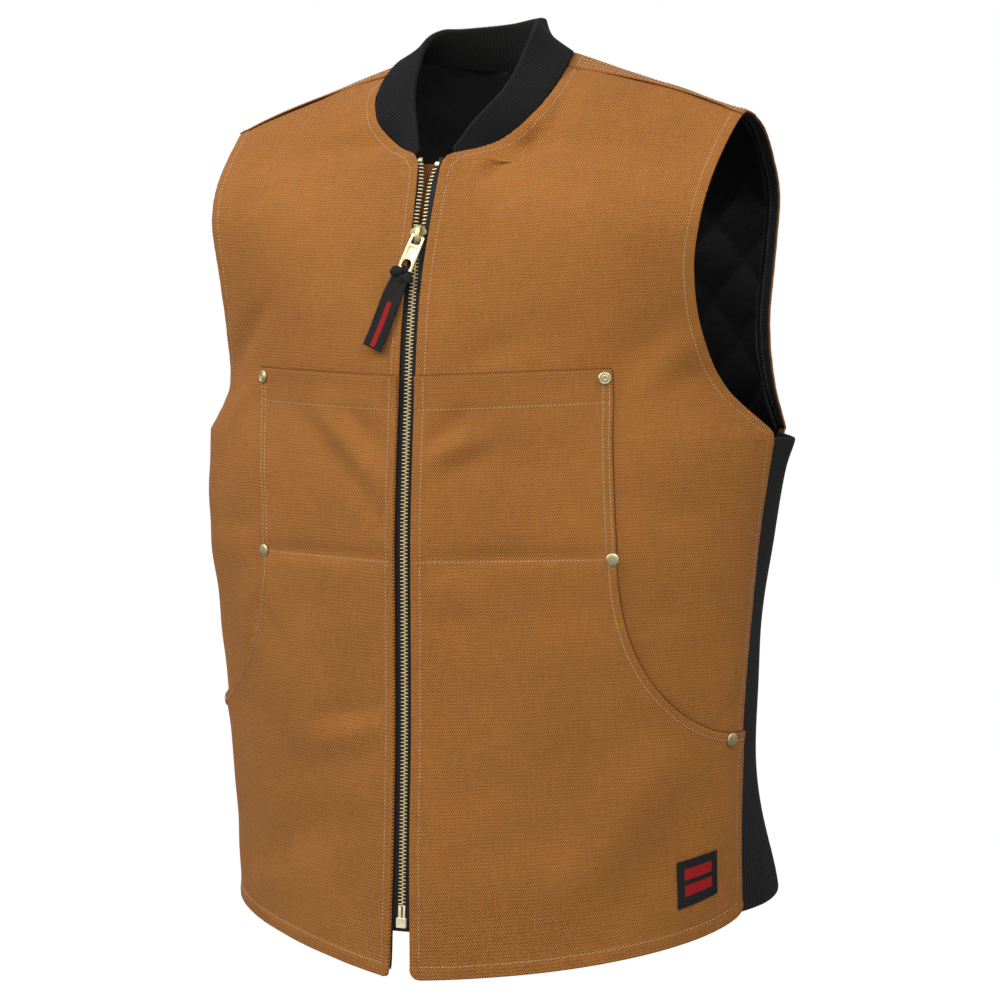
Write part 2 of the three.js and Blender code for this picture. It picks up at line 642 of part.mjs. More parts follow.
// Top stops above the last teeth, and the box and pins that hold the zip's foot together
const STOP = 4.2;
const STOP_GAP = 1.7;
const STOP_OUT = 2.4;
const STOP_ROUND = 1;
for (const { word, side } of sides) {
  const group = zipGroup(0, ZIP_TOP + STOP / 2 + STOP_GAP, -ZIP_DEPTH);
  const stop = plate(rectangle(STOP, -STOP / 2, STOP / 2), STOP_ROUND, TEETH_THICK);
  const mesh = meshOf(`zip_stop_${word}`, stop, brass);
  mesh.position.x = side * (ZIP_SPREAD + STOP_OUT);
  group.add(mesh);
}
const BOX_WIDTH = 8.6;
const BOX_HEIGHT = 8;
const BOX_THICK = 4.4;
const BOX_ROUND = 0.8;
const BOX_GAP = 0.6;
const BOX_LIFT = 0.4;
const PIN = [1.8, 9, 2.2];
const PIN_AT = [-1.9, -BOX_HEIGHT / 2 - 1, 0];
const zipBox = join(
  plate(rectangle(BOX_WIDTH, -BOX_HEIGHT / 2, BOX_HEIGHT / 2), BOX_ROUND, BOX_THICK),
  box(...PIN, ...PIN_AT),
);
const boxGroup = zipGroup(0, ZIP_BOTTOM - BOX_HEIGHT / 2 - BOX_GAP, -ZIP_DEPTH + BOX_LIFT);
boxGroup.add(meshOf("zip_box", zipBox, brass));

// Something flat set on a front at a place, its y axis up the cloth and its z axis outwards
function setOn(cloth, place, lift, mesh) {
  const { s, t } = cloth.locate(...place);
  const { p, n } = cloth.sample(s, t);
  const up = new THREE.Vector3(0, 0, 1).addScaledVector(n, -n.z).normalize();
  mesh.position.copy(p).addScaledVector(n, lift);
  mesh.setRotationFromMatrix(new THREE.Matrix4().makeBasis(up.clone().cross(n), up, n));
  vest.add(mesh);
}

// Rivets on the pocket layers' corners
const RIVETS = [
  ["chest", 154, -90, 473],
  ["middle", 156, -88, 335],
  ["side", 228, -24, 189],
];
const rivetProfile = new THREE.Path();
rivetProfile.moveTo(0, 0);
rivetProfile.lineTo(RIVET_RADIUS, 0);
rivetProfile.lineTo(RIVET_RADIUS, RIVET_RIM);
rivetProfile.quadraticCurveTo(RIVET_RADIUS * 0.8, RIVET_HEIGHT, 0, RIVET_HEIGHT);
for (const { word, side } of sides)
  for (const [place, x, y, height] of RIVETS) {
    const cap = new THREE.LatheGeometry(rivetProfile.getPoints(3), 16).rotateX(Math.PI / 2);
    const mesh = meshOf(`rivet_${place}_${word}`, cap, oldBrass);
    setOn(frontCloth(side), [x, y, height], POCKET_FACE + LAYER_GAP, mesh);
  }

// Woven label sewn to the left pocket layer above the hem
const labelCloth = frontCloth(1);
const labelAt = labelCloth.locate(213, -41, 79);
const labelMiddle = labelCloth.point(labelAt.s, labelAt.t);
const LABEL_STEP = 0.05;
const labelReach = labelCloth.point(labelAt.s + LABEL_STEP, labelAt.t).distanceTo(labelMiddle);
const labelRise = labelCloth.point(labelAt.s, labelAt.t + LABEL_STEP).distanceTo(labelMiddle);
const labelNet = steps(-LABEL_SIDE / 2, LABEL_SIDE / 2, 2).map((v) =>
  steps(-LABEL_SIDE / 2, LABEL_SIDE / 2, 4).map((u) =>
    labelCloth.sample(
      labelAt.s + (u * LABEL_STEP) / labelReach,
      labelAt.t + (v * LABEL_STEP) / labelRise,
    ),
  ),
);
const labelFace = POCKET_FACE + 2 * LAYER_GAP;
const label = wall([labelNet], labelFace + LABEL_THICK, labelFace);
vest.add(meshOf("hem_label", label, ribbon));

export default vest;
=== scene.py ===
"""Looks of a zip-front canvas work vest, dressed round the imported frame.

Metres, +Z up, the front faces -Y and the wearer's left is +X. Sizes of cloth are given in
millimetres and heights are measured up from the front hem, as a pattern cutter would.
"""

import logging
import math
from collections.abc import Callable, Sequence
from dataclasses import astuple, dataclass, field, replace
from enum import Enum

import bmesh
import bpy
import numpy as np
from mathutils import Matrix, Vector


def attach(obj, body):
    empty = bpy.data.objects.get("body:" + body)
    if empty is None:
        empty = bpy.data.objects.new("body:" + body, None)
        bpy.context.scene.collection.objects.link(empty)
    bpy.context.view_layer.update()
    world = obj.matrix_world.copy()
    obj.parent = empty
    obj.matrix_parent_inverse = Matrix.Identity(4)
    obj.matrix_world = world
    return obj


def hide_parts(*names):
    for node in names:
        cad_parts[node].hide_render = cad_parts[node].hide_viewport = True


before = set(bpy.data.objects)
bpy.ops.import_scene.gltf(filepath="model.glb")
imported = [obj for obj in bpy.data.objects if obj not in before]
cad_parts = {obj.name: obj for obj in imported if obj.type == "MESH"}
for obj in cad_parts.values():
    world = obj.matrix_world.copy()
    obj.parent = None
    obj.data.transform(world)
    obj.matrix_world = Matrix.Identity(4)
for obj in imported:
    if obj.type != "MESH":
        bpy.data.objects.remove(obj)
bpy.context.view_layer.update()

Array = np.ndarray
Piece = bpy.types.Object
Socket = bpy.types.NodeSocket
Node = bpy.types.Node
Triple = tuple[float, float, float]
LOG = logging.getLogger("vest")
MM = 0.001
TINY = 1e-12
MERGE = 2e-5
FINE = 1e-3
SLOPE_ACROSS = 0.008
SLOPE_UP = 2
ROW_TRIES = 4000
HALVINGS = 30
ZOOMS = 12
GRID = 15
STITCH_IN = 7.0
HEM_STITCH = 9.5
NECK_HEIGHT = 725.0
LEAVE_REACH = 0.46
ARRIVE_REACH = 0.19
LEAVE_RISE = 0.34
ARRIVE_RISE = 0.72
CLOTH_STEP = 4.0
LEVEL_ROWS = ("chest", "blade")


class Side(Enum):
    """The wearer's two sides, with the sign of x on each."""

    LEFT = 1
    RIGHT = -1

    @property
    def word(self) -> str:
        """The side's name as the frame's nodes spell it."""
        return self.name.lower()


class Body(Enum):
    """The frame's bodies."""

    VEST = "vest"
    PULL_TAB = "pull_tab"


class Slot(Enum):
    """The record's material slots."""

    CANVAS = "canvas"
    KNIT = "knit"
    QUILTING = "quilting"
    WEBBING = "webbing"
    ZIP_BRASS = "zip_brass"
    AGED_BRASS = "aged_brass"


@dataclass(frozen=True)
class Row:
    """One section of a panel, from its centre edge to its outer edge, with plan bearings."""

    name: str
    cx: float
    cy: float
    cz: float
    ox: float
    oy: float
    oz: float
    leave: float
    arrive: float
    arch: float = 0.0

    def numbers(self) -> list[float]:
        """The section's nine measures in order."""
        return list(astuple(self)[1:])


FRONT_ROWS = (
    Row("hem", 10, -143, 0, 229, 3, 37, 10, 90),
    Row("thigh", 7.5, -139, 100, 230, -1, 124, 9, 94),
    Row("hip", 7.5, -136, 185, 234, -4, 202, 9, 98),
    Row("waist", 7.5, -136, 270, 241, -5, 282, 9, 102),
    Row("ribs", 7.5, -136.5, 350, 249, -4, 359, 9, 100),
    Row("armpit", 7.5, -133, 418, 259, 0, 430, 9, 82),
    Row("low_scye", 7.5, -130.5, 452, 228, -22, 464, 8, 62),
    Row("scye", 7.5, -127, 500, 216, -46, 509, 8, 40),
    Row("chest", 7.5, -120, 550, 215, -60, 558, 8, 28),
    Row("high_chest", 8.5, -108, 605, 221, -61, 600, 10, 24),
    Row("neck_corner", 11.5, -89, 650, 224, -51, 625, 14, 24),
    Row("throat", 46, -63, 661, 225.5, -37, 644, 10, 18),
    Row("neck_front", 70, -52, 681, 227, -21, 660, 8, 13, 1.0),
    Row("neck_side", 82, -30, 706, 228.5, -8, 671, 6, 6, 2.5),
    Row("shoulder", 79, -1, 725, 230, 1, 678, 2, 0, 4.0),
)
BACK_ROWS = (
    Row("hem", 0, 126, 44, 218, 90, 64, 0, -55),
    Row("thigh", 0, 121, 140, 205, 82, 130, 0, -56),
    Row("hip", 0, 116, 210, 201, 75, 205, 0, -58),
    Row("waist", 0, 114, 288, 206, 70, 284, 0, -60),
    Row("ribs", 0, 117, 362, 217, 67, 360, 0, -62),
    Row("armpit", 0, 122, 430, 240, 68, 433, 0, -60),
    Row("low_scye", 0, 125, 465, 229, 73, 465, 0, -46),
    Row("scye", 0, 127, 515, 219, 84, 515, 0, -38),
    Row("blade", 0, 125, 570, 221, 90, 570, 0, -32),
    Row("high_blade", 0, 116, 625, 226, 87, 622, 0, -28),
    Row("yoke", 0, 98, 676, 227, 72, 650, 0, -20),
    Row("neck_back", 0, 65, 727, 228, 49, 674, 0, -6),
    Row("neck_turn", 34, 58, 730, 228.5, 32, 679, -4, -6, -2.0),
    Row("neck_bend", 62, 40, 735, 229, 22, 680, -6, -6, -4.0),
    Row("neck_crest", 75, 19, 737, 229.5, 12, 680, -4, -2, -4.5),
    Row("shoulder", 79, -1, 725, 230, 1, 678, 2, 0, 4.0),
)


Changes = dict[str, dict[str, float]]
LEFT_FRONT: Changes = {
    "hem": {"cz": -1.0, "oz": 49.5, "arch": -7.8},
    "chest": {"cx": 8.0},
    "high_chest": {"cx": 11.3},
    "neck_corner": {"cx": 10.4},
    "neck_front": {"oz": 661.5, "arch": 0.6},
    "neck_side": {"oz": 674.0, "arch": 1.2},
    "shoulder": {"oz": 682.0, "arch": 1.8},
}
RIGHT_FRONT: Changes = {
    "hem": {"ox": 223.0, "oz": 46.0, "arch": 1.5},
    "thigh": {"cx": 8.8, "ox": 226.0},
    "hip": {"cx": 8.8, "ox": 231.8},
    "waist": {"cx": 8.8, "ox": 239.3},
    "ribs": {"cx": 8.8},
    "armpit": {"cx": 8.8, "ox": 256.0},
    "low_scye": {"cx": 8.6},
    "scye": {"cx": 8.4},
    "chest": {"cx": 7.8},
    "high_chest": {"cx": 6.6},
    "neck_corner": {"cx": 11.8},
    "neck_front": {"arch": 0.0},
    "neck_side": {"arch": 0.0},
    "shoulder": {"arch": 0.5},
}
FRONT_CHANGES = {Side.LEFT: LEFT_FRONT, Side.RIGHT: RIGHT_FRONT}
BACK_CHANGES: dict[Side, Changes] = {
    Side.LEFT: {
        "neck_turn": {"oz": 681.5},
        "neck_bend": {"oz": 684.0},
        "neck_crest": {"oz": 684.5},
        "shoulder": {"oz": 682.0, "arch": 1.8},
    },
    Side.RIGHT: {"shoulder": {"arch": 0.5}},
}


def altered(rows: Sequence[Row], changes: Changes) -> list[Row]:
    """Rows with some of their measures changed, each found by its name."""
    return [replace(row, **changes.get(row.name, {})) for row in rows]


@dataclass(frozen=True)
class Station:
    """One place along half of the collar: its seam, its folded top edge and its swell."""

    name: str
    bx: float
    by: float
    bz: float
    tx: float
    ty: float
    tz: float
    swell: float


COLLAR_STATIONS = (
    Station("front_end", 16, -84, 651, 15.6, -82, 653, 0),
    Station("throat", 44.5, -60, 663.5, 27.5, -66, 674, 0),
    Station("front_turn", 68, -49, 682.5, 40, -47, 697, 0),
    Station("neck_side", 78, -29, 708, 47, -29, 717, -1.5),
    Station("shoulder", 77.5, -1.5, 730, 49, -8, 744, -3),
    Station("crest", 71.5, 17.5, 736, 43.5, 12, 757, -5),
    Station("back_turn", 50.5, 43, 732, 36.5, 34, 762, -3),
    Station("middle", 0, 61, 727, 0, 50, 764.5, -1),
)


def unit(vectors: Array) -> Array:
    """Vectors along the last axis at length one."""
    return vectors / np.maximum(np.linalg.norm(vectors, axis=-1, keepdims=True), TINY)


def ease(low: float, high: float, value: Array) -> Array:
    """A smooth step from 0 at low to 1 at high."""
    share = np.clip((np.asarray(value, float) - low) / (high - low), 0, 1)
    return share * share * (3 - 2 * share)


def bell(value: Array) -> Array:
    """A smooth bump that is 1 at 0."""
    return np.exp(-(value**2))


def run_of(points: Array) -> Array:
    """How far along a line each of its places lies, from 0."""
    return np.concatenate([[0], np.cumsum(np.linalg.norm(np.diff(points, axis=0), axis=1))])


def standing(across: Array, up: Array, out: Array, place: Array) -> Matrix:
    """From a bench to a place on the vest.

    Args:
        across: Where the bench's x points.
        up: Where its y points.
        out: Where its z points.
        place: Where its origin goes, in metres.

    Returns:
        The matrix.
    """
    made = Matrix.Identity(4)
    for k in range(3):
        made[k][0], made[k][1], made[k][2], made[k][3] = across[k], up[k], out[k], place[k]
    return made


def spline(knots: Array, table: Array, corners: Sequence[int], at: Array) -> Array:
    """Smooth values through a table's rows, with a break in direction at each column's corner.

    Args:
        knots: The place of each row.
        table: One row of values for each knot.
        corners: The row of each column's break, or -1.
        at: Places to read.

    Returns:
        The values at those places, one row each.
    """
    gaps = np.diff(knots)[:, None]
    rise = np.diff(table, axis=0) / gaps
    inner = (rise[:-1] * gaps[1:] + rise[1:] * gaps[:-1]) / (gaps[:-1] + gaps[1:])
    after = np.vstack([rise[:1], inner, rise[-1:]])
    before = after.copy()
    for column, corner in enumerate(corners):
        if corner > 0:
            before[corner, column] = rise[corner - 1, column]
            after[corner, column] = rise[corner, column]
    i = np.clip(np.searchsorted(knots, at, side="right") - 1, 0, len(knots) - 2)
    span = gaps[i]
    u = ((at - knots[i]) / span[..., 0])[..., None]
    start = table[i] * (2 * u**3 - 3 * u**2 + 1) + span * after[i] * (u**3 - 2 * u**2 + u)
    stop = table[i + 1] * (3 * u**2 - 2 * u**3) + span * before[i + 1] * (u**3 - u**2)
    return start + stop


@dataclass
class Net:
    """Sampled cloth: places, outward directions, places on the flat cut, and faces."""

    points: Array
    normals: Array
    flat: Array
    faces: list[tuple[int, ...]]

    @classmethod
    def from_rows(cls, points: Array, normals: Array, flat: Array, lengths: Sequence[int]) -> "Net":
        """A net over rows of which each is as long as the one below it, or one place shorter.

        Args:
            points: All places, row by row.
            normals: Their outward directions.
            flat: Their places on the flat cut.
            lengths: How many places each row has.

        Returns:
            The net, with its faces turned to its normals.
        """
        starts = np.concatenate([[0], np.cumsum(lengths)])
        faces = []
        for i in range(1, len(lengths)):
            low, high = int(starts[i - 1]), int(starts[i])
            for j in range(1, lengths[i - 1]):
                ring = [low + j - 1, low + j]
                ring += [high + k for k in (j, j - 1) if k < lengths[i]]
                if len(ring) > 2:
                    faces.append(tuple(ring))
        net = cls(points, normals, flat, faces)
        net.turn_faces()
        return net

    def turn_faces(self) -> None:
        """Turn every face so that it looks along the normals."""
        ring = np.array([face[:3] for face in self.faces])
        a, b, c = (self.points[ring[:, k]] for k in range(3))
        facing = np.einsum("ij,ij->i", np.cross(b - a, c - a), self.normals[ring[:, 0]]).sum()
        if facing < 0:
            self.faces = [tuple(reversed(face)) for face in self.faces]

    def joined(self, other: "Net") -> "Net":
        """This net and another as one, with shared places made one.

        Args:
            other: The net on the other side of a seamless line.

        Returns:
            The joined net.
        """
        points = np.vstack([self.points, other.points])
        count = len(self.points)
        faces = self.faces + [tuple(i + count for i in face) for face in other.faces]
        keys = [tuple(row) for row in np.round(points / MERGE).astype(int)]
        first: dict[tuple[int, ...], int] = {}
        place = [first.setdefault(key, i) for i, key in enumerate(keys)]
        normals = np.vstack([self.normals, other.normals])
        total = np.zeros_like(normals)
        np.add.at(total, place, normals)
        kept = sorted(set(place))
        order = {old: new for new, old in enumerate(kept)}
        faces = [tuple(order[place[i]] for i in face) for face in faces]
        flat = np.vstack([self.flat, other.flat])
        return Net(points[kept], unit(total[kept]), flat[kept], faces)


def make_object(name: str, points: Array, faces: Sequence[Sequence[int]], flat: Array | None) -> Piece:
    """A smooth-shaded mesh object in the scene.

    Args:
        name: The piece's name.
        points: Its corners in metres.
        faces: Its faces.
        flat: Places on the flat cut for the cloth's own UV map, or None.

    Returns:
        The new object.
    """
    mesh = bpy.data.meshes.new(name)
    mesh.from_pydata(points.tolist(), [], faces)
    if flat is not None:
        corner = np.empty(len(mesh.loops), np.int32)
        mesh.loops.foreach_get("vertex_index", corner)
        mesh.uv_layers.new(name="cloth").data.foreach_set("uv", flat[corner].ravel())
    mesh.polygons.foreach_set("use_smooth", np.ones(len(mesh.polygons), bool))
    mesh.update()
    piece = bpy.data.objects.new(name, mesh)
    bpy.context.scene.collection.objects.link(piece)
    return piece


def wall(name: str, net: Net, outer: Array | float, inner: Array | float, rim: int = 4) -> Piece:
    """A closed cloth of some thickness round a net, with rounded edges.

    Args:
        name: The piece's name.
        net: The sampled cloth.
        outer: Millimetres from the net to the outer face.
        inner: Millimetres from the net to the inner face.
        rim: Steps round each edge.

    Returns:
        The new object.
    """
    count = len(net.points)
    high = np.broadcast_to(np.asarray(outer, float) * MM, count)[:, None]
    low = np.broadcast_to(np.asarray(inner, float) * MM, count)[:, None]
    edges: dict[tuple[int, int], None] = {}
    for face in net.faces:
        for a, b in zip(face, face[1:] + face[:1]):
            if (b, a) in edges:
                del edges[(b, a)]
            else:
                edges[(a, b)] = None
    pairs = np.array(list(edges))
    sideways = unit(np.cross(net.points[pairs[:, 1]] - net.points[pairs[:, 0]], net.normals[pairs[:, 0]]))
    reach = np.zeros_like(net.points)
    np.add.at(reach, pairs[:, 0], sideways)
    np.add.at(reach, pairs[:, 1], sideways)
    border = np.unique(pairs)
    slot = {int(vertex): i for i, vertex in enumerate(border)}
    layers = [net.points + net.normals * high, net.points + net.normals * low]
    flats = [net.flat, net.flat]
    middle, half = (high + low) / 2, (high - low) / 2
    for step in range(1, rim):
        turn = math.pi * step / rim
        offset = net.normals * (middle + half * math.cos(turn)) + unit(reach) * half * math.sin(turn)
        layers.append((net.points + offset)[border])
        flats.append((net.flat + np.abs(half) * turn)[border])

    def ring(vertex: int, step: int) -> int:
        """The index of a border corner at one step round the edge.

        Args:
            vertex: The net's corner.
            step: The step from the outer face.

        Returns:
            The wall's corner.
        """
        if step == 0:
            return vertex
        if step == rim:
            return vertex + count
        return 2 * count + (step - 1) * len(border) + slot[vertex]

    faces = list(net.faces) + [tuple(i + count for i in reversed(face)) for face in net.faces]
    for a, b in edges:
        for step in range(rim):
            faces.append((ring(b, step), ring(a, step), ring(a, step + 1), ring(b, step + 1)))
    return make_object(name, np.vstack(layers), faces, np.vstack(flats))


@dataclass(frozen=True)
class Seam:
    """A stitched edge: its fold's thickness, its sunk stitches and its puckers, in millimetres."""

    at: float
    fold: float = 0.5
    sink: float = 0.4
    pucker: float = 0.16
    fold_past: float = 1.0
    fold_blur: float = 0.9
    sink_width: float = 1.2
    pucker_width: float = 8.0

    def relief(self, distance: Array, along: Array) -> Array:
        """How far the cloth stands out, in millimetres.

        Args:
            distance: Millimetres from the edge.
            along: Millimetres along the edge.

        Returns:
            Millimetres outwards.
        """
        past = distance - self.at
        folded = 0.5 - 0.5 * np.tanh((past - self.fold_past) / self.fold_blur)
        sunk = bell(past / self.sink_width)
        wave = np.sin(along / 2.4 + 1.7 * np.sin(along / 13.0)) + 0.6 * np.sin(along / 5.3 + 2.0)
        puckered = self.pucker * wave * bell(past / self.pucker_width)
        return self.fold * folded - self.sink * sunk + puckered


@dataclass(frozen=True)
class Fold:
    """A soft fold along a line across a panel, in millimetres; a negative depth is a hollow."""

    from_x: float
    from_height: float
    to_x: float
    to_height: float
    width: float
    depth: float

    def relief(self, points: Array) -> Array:
        """How far the fold stands out at places in metres, in millimetres.

        Args:
            points: The smooth cloth's places.

        Returns:
            Millimetres outwards.
        """
        place = points[..., [0, 2]] / MM + np.array([0, NECK_HEIGHT])
        start = np.array([self.from_x, self.from_height])
        line = np.array([self.to_x, self.to_height]) - start
        share = np.clip(((place - start) @ line) / (line @ line), 0, 1)
        gap = np.linalg.norm(place - start - share[..., None] * line, axis=-1)
        return self.depth * bell(gap / self.width) * (0.55 + 0.45 * np.sin(math.pi * share))


@dataclass(frozen=True)
class Hang:
    """The slow rise and fall of hanging cloth: metres across and up for a wave, and its size."""

    waves: tuple[Triple, ...] = (
        (0.33, 0.61, 1.0),
        (0.21, -0.43, 0.6),
        (0.13, 0.27, 0.3),
        (-0.09, 0.17, 0.18),
    )
    size: float = 0.75
    phase: float = 1.0
    ripples: int = 16
    ripple_spans: tuple[float, float] = (0.04, 0.13)
    ripple_slope: float = 0.013
    seed: int = 7

    def relief(self, points: Array) -> Array:
        """How far the cloth stands out at places in metres, in millimetres.

        Args:
            points: The smooth cloth's places.

        Returns:
            Millimetres outwards.
        """
        total = np.zeros(points.shape[:-1])
        for i, (across, up, share) in enumerate(self.waves):
            turn = points[..., 0] / across + points[..., 2] / up
            total += self.size * share * np.sin(2 * math.pi * turn + self.phase * (i + 1) * 1.7)
        chance = np.random.default_rng(self.seed)
        for span in np.geomspace(*self.ripple_spans, self.ripples):
            bearing, start = chance.uniform(0, 2 * math.pi, 2)
            turn = (points[..., 0] * math.cos(bearing) + points[..., 2] * math.sin(bearing)) / span
            total += self.ripple_slope * span / (2 * math.pi) / MM * np.sin(2 * math.pi * turn + start)
        return total


class Loft:
    """A curved cloth through rows: s runs from the centre edge out, v up the cloth in millimetres."""

    def __init__(
        self, rows: Sequence[Row], changes: Changes, inner: str, outer: str, side: Side, turn: int = 1
    ) -> None:
        """Set the rows out.

        Args:
            rows: The sections from the hem up, as both sides share them.
            changes: This side's own measures.
            inner: The row at which the centre edge turns a corner, or nothing.
            outer: The row at which the outer edge turns a corner, or nothing.
            side: The wearer's side.
            turn: 1 where the cloth faces forwards, -1 where it faces back.
        """
        self.side = side
        self.turn = turn * side.value
        self.table = np.array([row.numbers() for row in altered(rows, changes)], float)
        shared = np.array([row.numbers() for row in rows], float)
        gaps = np.linalg.norm(np.diff(shared[:, 0:3], axis=0), axis=1)
        gaps = (gaps + np.linalg.norm(np.diff(shared[:, 3:6], axis=0), axis=1)) / 2
        self.knots = np.concatenate([[0], np.cumsum(gaps)])
        names = [row.name for row in rows]
        self.marks = dict(zip(names, self.knots))
        self.level = max(self.marks.get(name, 0.0) for name in LEVEL_ROWS) or float(self.knots[-1])
        breaks = [names.index(name) if name in names else -1 for name in (inner, outer)]
        self.corners = [breaks[0]] * 3 + [breaks[1]] * 3 + [-1, -1, -1]
        self.top = float(self.knots[-1])
        self.relief: Callable[[Array, Array, Array], Array] = lambda s, v, p: np.zeros(p.shape[:-1])

    def point(self, s: Array, v: Array) -> Array:
        """The smooth cloth's places in metres.

        Args:
            s: Shares across.
            v: Millimetres up.

        Returns:
            The places.
        """
        s, v = np.broadcast_arrays(np.asarray(s, float), np.asarray(v, float))
        row = spline(self.knots, self.table, self.corners, v)
        start, stop = row[..., 0:3], row[..., 3:6]
        chord = np.linalg.norm((stop - start)[..., :2], axis=-1)
        controls = []
        for end, bearing, reach, rise in (
            (start, row[..., 6], LEAVE_REACH, LEAVE_RISE),
            (stop, row[..., 7], -ARRIVE_REACH, ARRIVE_RISE),
        ):
            angle = np.radians(bearing)
            height = start[..., 2] + (stop - start)[..., 2] * rise
            x = end[..., 0] + chord * reach * np.cos(angle)
            y = end[..., 1] + chord * reach * np.sin(angle)
            controls.append(np.stack([x, y, height], axis=-1))
        s = s[..., None]
        place = start * (1 - s) ** 3 + 3 * controls[0] * s * (1 - s) ** 2
        place = place + 3 * controls[1] * s**2 * (1 - s) + stop * s**3
        place = place + 4 * s * (1 - s) * row[..., 8:9] * np.array([0, 0, 1])
        return (place - [0, 0, NECK_HEIGHT]) * [self.side.value * MM, MM, MM]

    def normal(self, s: Array, v: Array) -> Array:
        """The smooth cloth's outward directions.

        Args:
            s: Shares across.
            v: Millimetres up.

        Returns:
            The directions.
        """
        across = self.point(s + SLOPE_ACROSS, v) - self.point(s - SLOPE_ACROSS, v)
        up = self.point(s, v + SLOPE_UP) - self.point(s, v - SLOPE_UP)
        return unit(np.cross(across, up)) * self.turn

    def place(self, s: Array, v: Array, lift: Array | float = 0.0) -> tuple[Array, Array]:
        """Places on the hanging cloth and its outward directions.

        Args:
            s: Shares across.
            v: Millimetres up.
            lift: Millimetres off the cloth.

        Returns:
            Places in metres and directions.
        """
        s, v = np.broadcast_arrays(np.asarray(s, float), np.asarray(v, float))
        smooth = self.point(s, v)
        normal = self.normal(s, v)
        rise = (self.relief(s, v, smooth) + lift) * MM
        return smooth + normal * rise[..., None], normal

    def spans(self, v: Array) -> tuple[Array, Array]:
        """Millimetres for one unit of s, measured square to the centre edge and the outer edge.

        Args:
            v: Rows.

        Returns:
            The measures at the centre edge and at the outer edge.
        """
        found = []
        for edge, step in ((0.0, FINE), (1.0, -FINE)):
            across = (self.point(edge + step, v) - self.point(edge, v)) / abs(step) / MM
            along = unit(self.point(edge, v + 1) - self.point(edge, v - 1))
            across = across - along * np.sum(across * along, axis=-1, keepdims=True)
            found.append(np.linalg.norm(across, axis=-1))
        return found[0], found[1]

    def from_inner(self, distance: float, v: Array) -> Array:
        """The s at a distance in millimetres from the centre edge."""
        return distance / self.spans(v)[0]

    def from_outer(self, distance: float, v: Array) -> Array:
        """The s at a distance in millimetres from the outer edge."""
        return 1 - distance / self.spans(v)[1]

    def rate(self, s: Array, v: float) -> Array:
        """Millimetres up the cloth for one unit of v, square to the row at v.

        Args:
            s: Shares across.
            v: The row.

        Returns:
            The measures.
        """
        up = (self.point(s, v + 1) - self.point(s, v - 1)) / 2 / MM
        across = unit(self.point(s + FINE, v) - self.point(s - FINE, v))
        return np.linalg.norm(up - across * np.sum(up * across, axis=-1, keepdims=True), axis=-1)

    def row_at(self, height: float, column: int) -> float:
        """The v at which a column of the table reaches a height.

        Args:
            height: Millimetres above the hem.
            column: The column.

        Returns:
            The row.
        """
        tries = np.linspace(0, self.top, ROW_TRIES)
        values = spline(self.knots, self.table, self.corners, tries)[:, column]
        return float(tries[np.argmax(values >= height)])

    def across_at(self, x: Array | float, v: Array) -> Array:
        """The s at which rows reach a distance in millimetres from the middle.

        Args:
            x: The distance.
            v: Rows.

        Returns:
            The shares across.
        """
        low, high = np.zeros_like(v, float), np.ones_like(v, float)
        for _ in range(HALVINGS):
            middle = (low + high) / 2
            short = np.abs(self.point(middle, v)[..., 0]) < np.asarray(x) * MM
            low, high = np.where(short, middle, low), np.where(short, high, middle)
        return (low + high) / 2

    def aside(self, s: Array, v: Array, distance: float) -> tuple[Array, Array]:
        """A line moved sideways over the cloth, away from the outer edge and the top.

        Args:
            s: The line's shares across.
            v: The line's rows.
            distance: Millimetres to move it.

        Returns:
            The moved line's s and v.
        """
        along = unit(np.gradient(self.point(s, v), axis=0))
        across = (self.point(s + FINE, v) - self.point(s - FINE, v)) / (2 * FINE)
        up = (self.point(s, v + 1) - self.point(s, v - 1)) / 2
        aim = unit(np.cross(along, self.normal(s, v)))
        aim *= np.where(np.sum(aim * across, axis=-1) + np.sum(aim * up, axis=-1) > 0, -1.0, 1.0)[:, None]
        a, b, c = (np.sum(m * n, axis=-1) for m, n in ((across, across), (across, up), (up, up)))
        p, q = (np.sum(m * aim, axis=-1) * distance * MM for m in (across, up))
        whole = a * c - b * b
        return s + (c * p - b * q) / whole, v + (a * q - b * p) / whole

    def locate(self, x: float, y: float, height: float) -> tuple[float, float]:
        """The s and v nearest to a place given in millimetres.

        Args:
            x: Distance from the middle.
            y: Distance back.
            height: Height above the hem.

        Returns:
            The share across and the row.
        """
        goal = np.array([x * self.side.value, y, height - NECK_HEIGHT]) * MM
        best = (0.5, self.top / 2)
        reach = (0.5, self.top / 2)
        for _ in range(ZOOMS):
            s = np.clip(np.linspace(best[0] - reach[0], best[0] + reach[0], GRID), 0, 1)
            v = np.clip(np.linspace(best[1] - reach[1], best[1] + reach[1], GRID), 0, self.top)
            s, v = (grid.ravel() for grid in np.meshgrid(s, v))
            near = int(np.argmin(np.linalg.norm(self.point(s, v) - goal, axis=-1)))
            best = (float(s[near]), float(v[near]))
            reach = (reach[0] / 3, reach[1] / 3)
        return best

    def rows_between(self, low: float, high: float, graded: Sequence[float] = ()) -> Array:
        """Rows from low to high that keep the table's own rows, with close rows at both ends.

        Args:
            low: First row.
            high: Last row.
            graded: Distances from either end at which close rows lie.

        Returns:
            The rows' v.
        """
        marks = [low, *[k for k in self.knots if low + 1 < k < high - 1], high]
        rows: list[float] = []
        for a, b in zip(marks, marks[1:]):
            rows += np.linspace(a, b, max(2, round((b - a) / CLOTH_STEP) + 1))[:-1].tolist()
        rows.append(high)
        edge = max(graded, default=0.0)
        kept = [v for v in rows if low + edge < v < high - edge]
        ends = [low + d for d in graded] + [high - d for d in graded]
        return np.array(sorted({*kept, low, high, *ends}))

